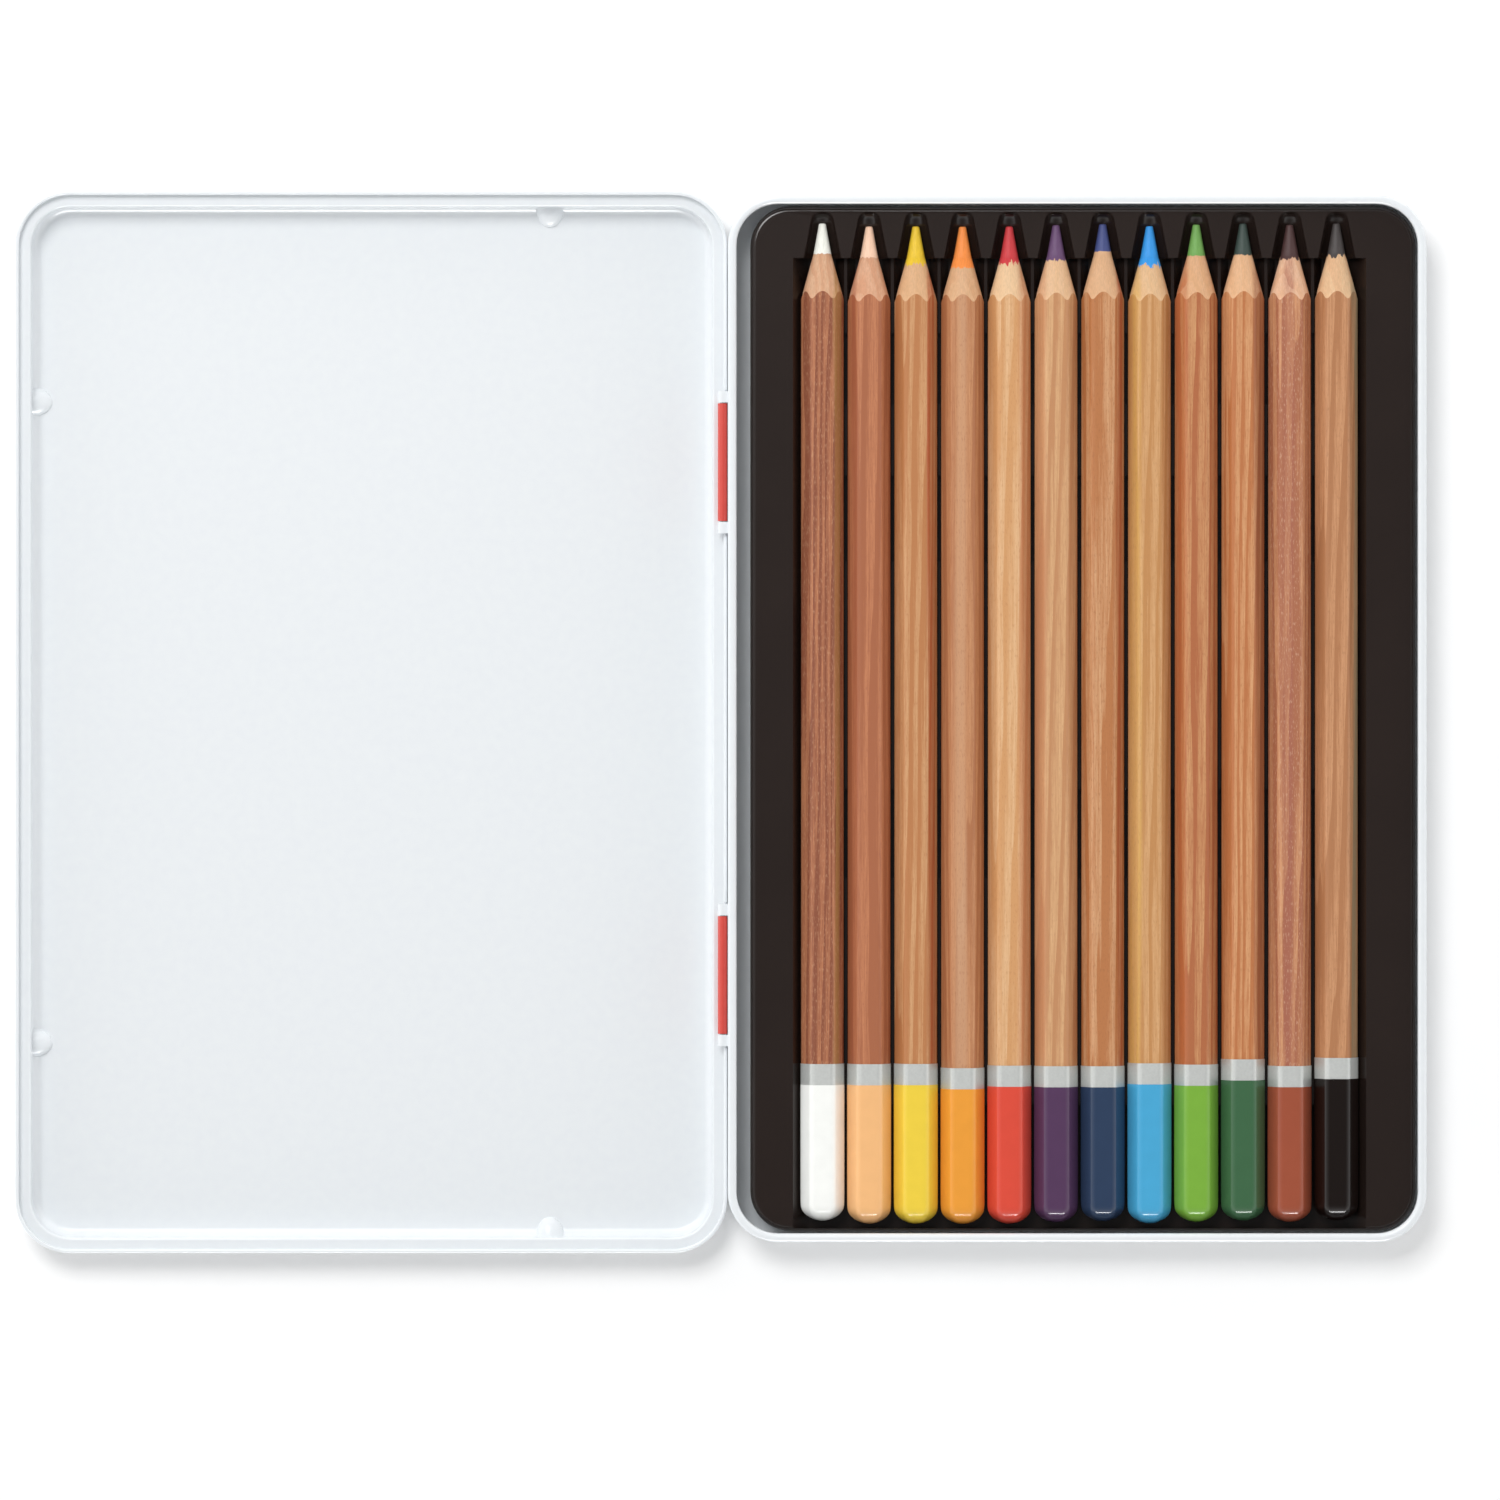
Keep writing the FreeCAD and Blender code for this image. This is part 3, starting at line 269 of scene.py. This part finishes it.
# Each pattern's marks per mm, across the grain and along it
cedar = {
    "sway": (0.3, 0.012),  # slow wander of the rings
    "swayReach": 3.0,  # mm that it moves them
    "streaks": (2.8, 0.05),
    "fibres": (5.5, 0.3),
    "pores": (5.0, 1.1),  # short dark or pale dashes where the saw opened them
    "teeth": (1.5, 0.06),  # where the knife leaves the pigment's edge ragged
    "shavings": (5.0, 0.4),
    "apart": (11.3, 37.0, 5.7),  # mm from one pencil's place in the wood to the next one's
    "darkens": (0.3, 0.93),  # the share of a ring over which it turns dark
    "lightens": (0.95, 1.0),  # and over which it turns light again
    "ringShare": 0.4,  # how much rings and fibres add to the streaks
    "fibreShare": 0.5,
    "contrast": (0.52, 1.0),  # the range of that sum between the light and the dark tone
    "bandDrift": 2.0,  # mm that the band of other wood wanders across
    "bandEdge": (0.5, 1.6),  # where the band begins and ends to fade, in its half widths
    "poreRange": (0.55, 0.7),  # the dashes' noise between no pore and a whole one
    "poreDepth": 0.02,  # mm
    "cutShades": (0.78, 1.2),  # darkest and lightest shaving, as shares of the tone
    "cutDepth": 0.05,  # mm
    "teethApart": 7.3,  # mm from one pencil's teeth to the next one's
    "teethReach": 3.0,  # mm that the edge swings for a raggedness of 1
    "edgeBlur": 0.06,  # mm, half of the step from wood to pigment
}


def alongGrain(pair):
    # across and along the grain, as a Mapping node's scale
    across, along = pair
    return (across, along, across)


def ownPlace(tree, k):
    # the pencil's own place in mm: its round end is the origin, and Y runs along it
    coreLow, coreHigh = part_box(f"pencil_{k + 1:02d}_core")
    capLow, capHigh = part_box(f"pencil_{k + 1:02d}_cap")
    middle = ((coreLow.x + coreHigh.x) / 2, capLow.y, (coreLow.z + coreHigh.z) / 2)
    place = addNode(tree, "TexCoord", {}, {})
    return addNode(
        tree,
        "Mapping",
        {"vector_type": "TEXTURE"},
        {"Vector": place.outputs["Object"], "Location": middle, "Scale": (mm, mm, mm)},
    )


def cedarTone(tree, k, own, light, dark):
    # Growth rings cut at a small slope, fine streaks along the grain, and a band of other wood
    facts = pencils[k]
    turned = addNode(
        tree,
        "Mapping",
        {},
        {
            "Vector": own.outputs[0],
            "Location": [k * step for step in cedar["apart"]],
            "Rotation": (0.0, math.radians(facts["turn"]), 0.0),
        },
    )
    swayPlace = addNode(
        tree, "Mapping", {}, {"Vector": turned.outputs[0], "Scale": alongGrain(cedar["sway"])}
    )
    sway = addNode(tree, "TexNoise", {}, {"Vector": swayPlace.outputs[0], "Scale": 1.0, "Detail": 2.0})
    parts = addNode(tree, "SeparateXYZ", {}, {"Vector": turned.outputs[0]})
    run = addNode(
        tree,
        "Math",
        {"operation": "MULTIPLY_ADD"},
        {0: parts.outputs["Y"], 1: facts["slope"], 2: parts.outputs["Z"]},
    )
    swayed = addNode(
        tree,
        "Math",
        {"operation": "MULTIPLY_ADD"},
        {0: sway.outputs["Fac"], 1: cedar["swayReach"], 2: run.outputs[0]},
    )
    count = addNode(tree, "Math", {"operation": "DIVIDE"}, {0: swayed.outputs[0], 1: facts["rings"]})
    saw = addNode(tree, "Math", {"operation": "FRACT"}, {0: count.outputs[0]})
    least, most = cedar["darkens"]
    rise = addNode(
        tree,
        "MapRange",
        {"interpolation_type": "SMOOTHSTEP"},
        {"Value": saw.outputs[0], "From Min": least, "From Max": most},
    )
    least, most = cedar["lightens"]
    fall = addNode(
        tree,
        "MapRange",
        {"interpolation_type": "SMOOTHSTEP"},
        {"Value": saw.outputs[0], "From Min": least, "From Max": most, "To Min": 1.0, "To Max": 0.0},
    )
    ring = addNode(tree, "Math", {"operation": "MULTIPLY"}, {0: rise.outputs["Result"], 1: fall.outputs["Result"]})
    streakPlace = addNode(
        tree, "Mapping", {}, {"Vector": turned.outputs[0], "Scale": alongGrain(cedar["streaks"])}
    )
    streak = addNode(
        tree, "TexNoise", {}, {"Vector": streakPlace.outputs[0], "Scale": 1.0, "Detail": 5.0, "Roughness": 0.7}
    )
    fibrePlace = addNode(
        tree, "Mapping", {}, {"Vector": turned.outputs[0], "Scale": alongGrain(cedar["fibres"])}
    )
    fibre = addNode(tree, "TexNoise", {}, {"Vector": fibrePlace.outputs[0], "Scale": 1.0, "Detail": 3.0})
    lines = addNode(
        tree,
        "Math",
        {"operation": "MULTIPLY_ADD"},
        {0: ring.outputs[0], 1: cedar["ringShare"], 2: streak.outputs["Fac"]},
    )
    figure = addNode(
        tree,
        "Math",
        {"operation": "MULTIPLY_ADD"},
        {0: fibre.outputs["Fac"], 1: cedar["fibreShare"], 2: lines.outputs[0]},
    )
    least, most = cedar["contrast"]
    share = addNode(tree, "MapRange", {}, {"Value": figure.outputs[0], "From Min": least, "From Max": most})
    ground = addNode(
        tree,
        "Mix",
        {"data_type": "RGBA"},
        {"Factor": share.outputs["Result"], "A": light, "B": dark},
    )
    middle, half, colour, strength = facts["streak"]
    flat = addNode(tree, "SeparateXYZ", {}, {"Vector": own.outputs[0]})
    wander = cedar["bandDrift"]
    drift = addNode(
        tree, "Math", {"operation": "MULTIPLY_ADD"}, {0: sway.outputs["Fac"], 1: wander, 2: flat.outputs["X"]}
    )
    away = addNode(tree, "Math", {"operation": "SUBTRACT"}, {0: drift.outputs[0], 1: middle + wander / 2})
    distance = addNode(tree, "Math", {"operation": "ABSOLUTE"}, {0: away.outputs[0]})
    least, most = cedar["bandEdge"]
    patch = addNode(
        tree,
        "MapRange",
        {"interpolation_type": "SMOOTHSTEP"},
        {
            "Value": distance.outputs[0],
            "From Min": half * least,
            "From Max": half * most,
            "To Min": strength,
            "To Max": 0.0,
        },
    )
    broken = addNode(
        tree,
        "Math",
        {"operation": "MULTIPLY", "use_clamp": True},
        {0: patch.outputs["Result"], 1: figure.outputs[0]},
    )
    return addNode(
        tree,
        "Mix",
        {"data_type": "RGBA"},
        {"Factor": broken.outputs[0], "A": ground.outputs["Result"], "B": linear(colour)},
    )


def lacqueredCedar(k):
    # Cedar slats, milled and clear-lacquered: warm streaks under a thin even gloss
    facts = pencils[k]
    material, tree, shader = newMaterial(
        f"lacqueredCedar_{k + 1:02d}", Roughness=0.55, Specular_IOR_Level=0.3, Coat_Weight=0.3, Coat_Roughness=0.2
    )
    own = ownPlace(tree, k)
    tone = cedarTone(tree, k, own, linear(facts["wood"][0]), linear(facts["wood"][1]))
    dashPlace = addNode(tree, "Mapping", {}, {"Vector": own.outputs[0], "Scale": alongGrain(cedar["pores"])})
    dashes = addNode(tree, "TexNoise", {}, {"Vector": dashPlace.outputs[0], "Scale": 1.0, "Detail": 3.0})
    strength, colour = facts["pores"]
    least, most = cedar["poreRange"]
    pores = addNode(
        tree,
        "MapRange",
        {},
        {"Value": dashes.outputs["Fac"], "From Min": least, "From Max": most, "To Max": strength},
    )
    mixed = addNode(
        tree,
        "Mix",
        {"data_type": "RGBA"},
        {"Factor": pores.outputs["Result"], "A": tone.outputs["Result"], "B": linear(colour)},
    )
    bump = addNode(
        tree,
        "Bump",
        {"invert": True},
        {"Height": dashes.outputs["Fac"], "Strength": 0.25, "Distance": cedar["poreDepth"] * mm},
    )
    tree.links.new(mixed.outputs["Result"], shader.inputs["Base Color"])
    tree.links.new(bump.outputs[0], shader.inputs["Normal"])
    return material


def pigmentEdge(tree, k, own):
    # 1 where pigment shows and 0 where wood does; the knife leaves a ragged edge between them
    reach, ragged = pencils[k]["border"]
    teethPlace = addNode(
        tree,
        "Mapping",
        {},
        {
            "Vector": own.outputs[0],
            "Scale": alongGrain(cedar["teeth"]),
            "Location": (k * cedar["teethApart"], 0, 0),
        },
    )
    teeth = addNode(
        tree, "TexNoise", {}, {"Vector": teethPlace.outputs[0], "Scale": 1.0, "Detail": 3.0, "Roughness": 0.65}
    )
    parts = addNode(tree, "SeparateXYZ", {}, {"Vector": own.outputs[0]})
    swing = ragged * cedar["teethReach"]
    level = addNode(
        tree, "Math", {"operation": "MULTIPLY_ADD"}, {0: teeth.outputs["Fac"], 1: swing, 2: parts.outputs["Y"]}
    )
    edge = coreEnd - reach + swing / 2
    blur = cedar["edgeBlur"]
    return addNode(
        tree, "MapRange", {}, {"Value": level.outputs[0], "From Min": edge - blur, "From Max": edge + blur}
    )


def sharpenedPoint(k, roughness):
    # Bare cedar and pigment, cut by a knife: matte, with fine lines along the cut
    facts = pencils[k]
    material, tree, shader = newMaterial(f"sharpenedPoint_{k + 1:02d}", Roughness=roughness)
    own = ownPlace(tree, k)
    bare = linear(facts["wood"][2])
    shaded = tuple((a + b) / 2 for a, b in zip(bare, linear(facts["wood"][0])))
    tone = cedarTone(tree, k, own, bare, shaded)
    share = pigmentEdge(tree, k, own)
    shavePlace = addNode(
        tree, "Mapping", {}, {"Vector": own.outputs[0], "Scale": alongGrain(cedar["shavings"])}
    )
    shave = addNode(tree, "TexNoise", {}, {"Vector": shavePlace.outputs[0], "Scale": 1.0, "Detail": 4.0})
    least, most = cedar["cutShades"]
    uneven = addNode(tree, "MapRange", {}, {"Value": shave.outputs["Fac"], "To Min": least, "To Max": most})
    mixed = addNode(
        tree,
        "Mix",
        {"data_type": "RGBA"},
        {"Factor": share.outputs["Result"], "A": tone.outputs["Result"], "B": linear(facts["core"])},
    )
    cut = addNode(
        tree, "HueSaturation", {}, {"Color": mixed.outputs["Result"], "Value": uneven.outputs["Result"]}
    )
    bump = addNode(
        tree, "Bump", {}, {"Height": shave.outputs["Fac"], "Strength": 0.5, "Distance": cedar["cutDepth"] * mm}
    )
    tree.links.new(cut.outputs[0], shader.inputs["Base Color"])
    tree.links.new(bump.outputs[0], shader.inputs["Normal"])
    return material


lacquer = {
    "waves": 350.0,  # per metre, runs of the thick coat
    "shades": (0.95, 1.05),
    "relief": 0.05,  # mm
}


def dippedLacquer(k):
    # Thick coloured lacquer, dipped: glossy, its colour a little uneven
    material, tree, shader = newMaterial(
        f"dippedLacquer_{k + 1:02d}", Roughness=0.45, Specular_IOR_Level=0.1, Coat_Weight=0.7, Coat_Roughness=0.06
    )
    place = addNode(tree, "TexCoord", {}, {})
    slow = addNode(
        tree, "TexNoise", {}, {"Vector": place.outputs["Object"], "Scale": lacquer["waves"], "Detail": 2.0}
    )
    least, most = lacquer["shades"]
    uneven = addNode(tree, "MapRange", {}, {"Value": slow.outputs["Fac"], "To Min": least, "To Max": most})
    tone = addNode(
        tree, "HueSaturation", {}, {"Color": linear(pencils[k]["cap"]), "Value": uneven.outputs["Result"]}
    )
    bump = addNode(
        tree, "Bump", {}, {"Height": slow.outputs["Fac"], "Strength": 0.1, "Distance": lacquer["relief"] * mm}
    )
    tree.links.new(tone.outputs[0], shader.inputs["Base Color"])
    tree.links.new(bump.outputs[0], shader.inputs["Normal"])
    return material


print("stage 3: CAD nodes and dressed pieces")

joinDistance = 0.001 * mm  # between the corners of loose triangles that belong together
flatAngle = math.radians(0.5)  # faces that differ by less are one flat


def flatten(piece):
    # flat faces keep their own normals, and only the rounds between them shade smoothly
    even = piece.modifiers.new("even", "WEIGHTED_NORMAL")
    even.mode = "FACE_AREA"
    even.weight = 100
    even.keep_sharp = True


def dress(node, material, crease=30.0):
    # keeps a CAD node, joins its loose triangles for smooth shading, and gives it a material
    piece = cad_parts[node]
    piece.data.materials.clear()
    piece.data.materials.append(material)
    for face in piece.data.polygons:
        face.use_smooth = True
    weld = piece.modifiers.new("joined", "WELD")
    weld.merge_threshold = joinDistance
    split = piece.modifiers.new("creases", "EDGE_SPLIT")
    split.split_angle = math.radians(crease)
    flatten(piece)


def mergedCopy(node):
    # a bmesh of a CAD node with its loose triangles joined
    shape = bmesh.new()
    shape.from_mesh(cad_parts[node].data)
    bmesh.ops.remove_doubles(shape, verts=shape.verts, dist=joinDistance)
    return shape


def finishPiece(shape, name, materials, node, body, crease=30.0):
    # a new piece that stands for a CAD node
    for face in shape.faces:
        face.smooth = True
    for edge in shape.edges:
        finishes = {face.material_index for face in edge.link_faces}
        edge.smooth = len(finishes) == 1 and edge.calc_face_angle(0.0) < math.radians(crease)
    mesh = bpy.data.meshes.new(name)
    shape.to_mesh(mesh)
    shape.free()
    for material in materials:
        mesh.materials.append(material)
    piece = bpy.data.objects.new(name, mesh)
    bpy.context.scene.collection.objects.link(piece)
    flatten(piece)
    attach(piece, body)
    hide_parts(node)


whiteLacquer = lacqueredTinplate("lacqueredTinplateWhite", tin["white"], tin["whiteShade"])
redLacquer = lacqueredTinplate("lacqueredTinplateRed", tin["red"], tin["redShade"])
steelWire = drawnSteelWire()
foil = hotFoilSilver()
styrene = thermoformedPolystyrene()

dress("base_shell", whiteLacquer)
dress("lid_shell", whiteLacquer)
for side in ("near", "far"):
    dress(f"hinge_strip_{side}", redLacquer)
    dress(f"hinge_wire_{side}", steelWire)


sharpAngle = math.radians(24)  # edges above it get a round


def roundEdges(shape, radius, wanted, segments=2):
    # bevels the sharp edges that a test picks
    sharp = [e for e in shape.edges if len(e.link_faces) == 2 and e.calc_face_angle() > sharpAngle]
    bmesh.ops.bevel(
        shape, geom=[e for e in sharp if wanted(e)], offset=radius * mm, offset_type="OFFSET", segments=segments,
        profile=0.5, affect="EDGES", clamp_overlap=True, material=-1,
    )


# The tray's formed corners get their small radii here
shape = mergedCopy("pencil_tray")
bmesh.ops.dissolve_limit(shape, angle_limit=flatAngle, verts=shape.verts, edges=shape.edges)
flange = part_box("pencil_tray")[1].z - 0.01 * mm  # just under the tray's top face


def isUpright(edge):
    return abs((edge.verts[0].co - edge.verts[1].co).normalized().z) > 0.999


roundEdges(shape, tray["upright"], isUpright, segments=4)
roundEdges(shape, tray["lip"], lambda edge: all(v.co.z > flange for v in edge.verts), segments=3)
roundEdges(shape, tray["edge"], lambda edge: all(v.co.z < flange for v in edge.verts))
bmesh.ops.triangulate(shape, faces=shape.faces)
finishPiece(shape, "formedTray", [styrene], "pencil_tray", "tray", crease=50)

for k in range(len(pencils)):
    tag = f"pencil_{k + 1:02d}"
    shape = mergedCopy(f"{tag}_barrel")
    for face in shape.faces:
        face.normal_update()
        # only the sharpened cone slopes towards the tip; the flats and the ends don't
        face.material_index = 1 if 0.1 < face.normal.y < 0.9 else 0
    finishPiece(
        shape, f"{tag}_wood", [lacqueredCedar(k), sharpenedPoint(k, 0.75)], f"{tag}_barrel", tag, crease=20
    )
    dress(f"{tag}_core", sharpenedPoint(k, 0.55))
    dress(f"{tag}_band", foil)

dip = {
    "corner": 1.2,  # mm, radius along the six edges
    "ball": 4.5,  # mm, radius of the round end
    "crisp": 18,  # how sharply the hexagon turns into the round end
    "straight": (7.0, 5.6, 4.7),  # mm from the end, rings where the hexagon begins to round off
    "rings": 12,  # over the round end
    "cornerSteps": 5,  # faces across each soft corner
}


def dippedEnd(k):
    # the lacquered end: a hexagon with soft corners, drawn out and rounded off into a ball
    node = f"pencil_{k + 1:02d}_cap"
    low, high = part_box(node)
    half = (high.z - low.z) / 2
    shape = bmesh.new()
    bmesh.ops.create_circle(shape, cap_ends=True, segments=6, radius=half / math.cos(math.radians(30)))
    bmesh.ops.bevel(
        shape, geom=shape.verts[:], offset=dip["corner"] * mm * math.tan(math.radians(30)), offset_type="OFFSET",
        segments=dip["cornerSteps"], profile=0.5, affect="VERTICES", clamp_overlap=True, material=-1,
    )
    bmesh.ops.rotate(shape, verts=shape.verts, matrix=Matrix.Rotation(math.radians(30), 3, "Z"))
    section = shape.verts.layers.float.new("section")  # each point's distance from the axis in the hexagon
    for point in shape.verts:
        point[section] = point.co.length
    front = shape.faces[:][0]
    length = high.y - low.y
    ball = dip["ball"] * mm
    turns = [math.radians(90 * (1 - ring / dip["rings"])) for ring in range(dip["rings"])]
    depths = [depth * mm for depth in dip["straight"]] + [ball * (1 - math.cos(turn)) for turn in turns]
    for depth in depths:
        drawn = bmesh.ops.extrude_face_region(shape, geom=[front])
        front = next(part for part in drawn["geom"] if isinstance(part, bmesh.types.BMFace))
        # past the ball's middle its reach goes on growing, so that the hexagon takes over
        reach = math.sqrt(depth * (2 * ball - depth)) if depth < ball else (ball + depth) / 2
        for point in front.verts:
            share = reach / point[section]
            share /= (1 + share ** dip["crisp"]) ** (1 / dip["crisp"])
            flat = Vector((point.co.x, point.co.y, 0.0)).normalized() * point[section] * share
            point.co = (flat.x, flat.y, length - depth)
    bmesh.ops.recalc_face_normals(shape, faces=shape.faces)
    # the drawing direction becomes -Y, from the band to the round end
    bmesh.ops.rotate(shape, verts=shape.verts, matrix=Matrix.Rotation(math.radians(90), 3, "X"))
    bmesh.ops.translate(shape, verts=shape.verts, vec=((low.x + high.x) / 2, high.y, (low.z + high.z) / 2))
    finishPiece(shape, f"pencil_{k + 1:02d}_dip", [dippedLacquer(k)], node, f"pencil_{k + 1:02d}", crease=35)


for k in range(len(pencils)):
    dippedEnd(k)

print("stage 4: floor, light and camera")

studio = {
    "floor": "#F2F2F2",
    "floorSize": 3.0,
    "seenFloor": 1.05,  # what the camera sees of it, so that only the object's own shadow is less than white
    "sky": "#FFFFFF",
    "horizon": 1.75,
    "zenith": 0.1,
    "keyPower": 12.6,  # W
    "keyPlace": (-0.47, 0.72, 1.42),
    "keySize": 0.7,
    "cardPower": 24.0,  # W, a low card in front that shows only in gloss: the thin glints on rounded ends
    "cardPlace": (0.04, -1.5, 0.25),
    "cardSize": (1.0, 0.22),
    "aim": (-0.057, 0.0, 0.0),  # the middle of the open set
    "lens": 218.05,  # mm, a long lens that looks straight down
    "cameraPlace": (-0.0573, -0.0055, 1.6),
}


def seenDirectly(tree):
    # 1 for camera, mirror and glass rays
    path = addNode(tree, "LightPath", {}, {})
    seen = addNode(
        tree, "Math", {"operation": "MAXIMUM"}, {0: path.outputs["Is Camera Ray"], 1: path.outputs["Is Glossy Ray"]}
    )
    return addNode(
        tree, "Math", {"operation": "MAXIMUM"}, {0: seen.outputs[0], 1: path.outputs["Is Transmission Ray"]}
    )


shape = bmesh.new()
bmesh.ops.create_grid(shape, x_segments=1, y_segments=1, size=studio["floorSize"])
mesh = bpy.data.meshes.new("floor")
shape.to_mesh(mesh)
shape.free()
floor = bpy.data.objects.new("floor", mesh)
bpy.context.scene.collection.objects.link(floor)
paper = bpy.data.materials.new("whitePaper")
paper.use_nodes = True
tree = paper.node_tree
tree.nodes.clear()
seenWhite = (studio["seenFloor"], studio["seenFloor"], studio["seenFloor"], 1.0)
tone = addNode(
    tree,
    "Mix",
    {"data_type": "RGBA", "clamp_result": False},
    {"Factor": seenDirectly(tree).outputs[0], "A": linear(studio["floor"]), "B": seenWhite},
)
diffuse = addNode(tree, "BsdfDiffuse", {}, {"Color": tone.outputs["Result"]})
addNode(tree, "OutputMaterial", {}, {"Surface": diffuse.outputs[0]})
mesh.materials.append(paper)

# A studio tent: bright walls and a darker ceiling, which glossy faces that look up mirror
world = bpy.data.worlds.new("studioTent")
bpy.context.scene.world = world
world.use_nodes = True
tree = world.node_tree
tree.nodes.clear()
place = addNode(tree, "TexCoord", {}, {})
parts = addNode(tree, "SeparateXYZ", {}, {"Vector": place.outputs["Generated"]})
glow = addNode(
    tree, "MapRange", {}, {"Value": parts.outputs["Z"], "To Min": studio["horizon"], "To Max": studio["zenith"]}
)
sky = addNode(tree, "Background", {}, {"Color": linear(studio["sky"]), "Strength": glow.outputs["Result"]})
addNode(tree, "OutputWorld", {}, {"Surface": sky.outputs[0]})


def addLamp(name, place, wide, deep, power):
    # a soft box, turned to the middle of the open set
    lamp = bpy.data.lights.new(name, "AREA")
    lamp.shape = "RECTANGLE"
    lamp.size = wide
    lamp.size_y = deep
    lamp.energy = power
    box = bpy.data.objects.new(name, lamp)
    bpy.context.scene.collection.objects.link(box)
    box.location = place
    aim = Vector(studio["aim"]) - box.location
    box.rotation_euler = aim.to_track_quat("-Z", "Y").to_euler()
    return box


addLamp("key", studio["keyPlace"], studio["keySize"], studio["keySize"], studio["keyPower"])
card = addLamp("card", studio["cardPlace"], *studio["cardSize"], studio["cardPower"])
card.visible_diffuse = False

lens = bpy.data.cameras.new("camera")
lens.lens = studio["lens"]
lens.sensor_width = 36.0
lens.clip_end = 20.0
camera = bpy.data.objects.new("camera", lens)
bpy.context.scene.collection.objects.link(camera)
camera.location = studio["cameraPlace"]
bpy.context.scene.camera = camera

bpy.context.scene.view_settings.view_transform = "Standard"
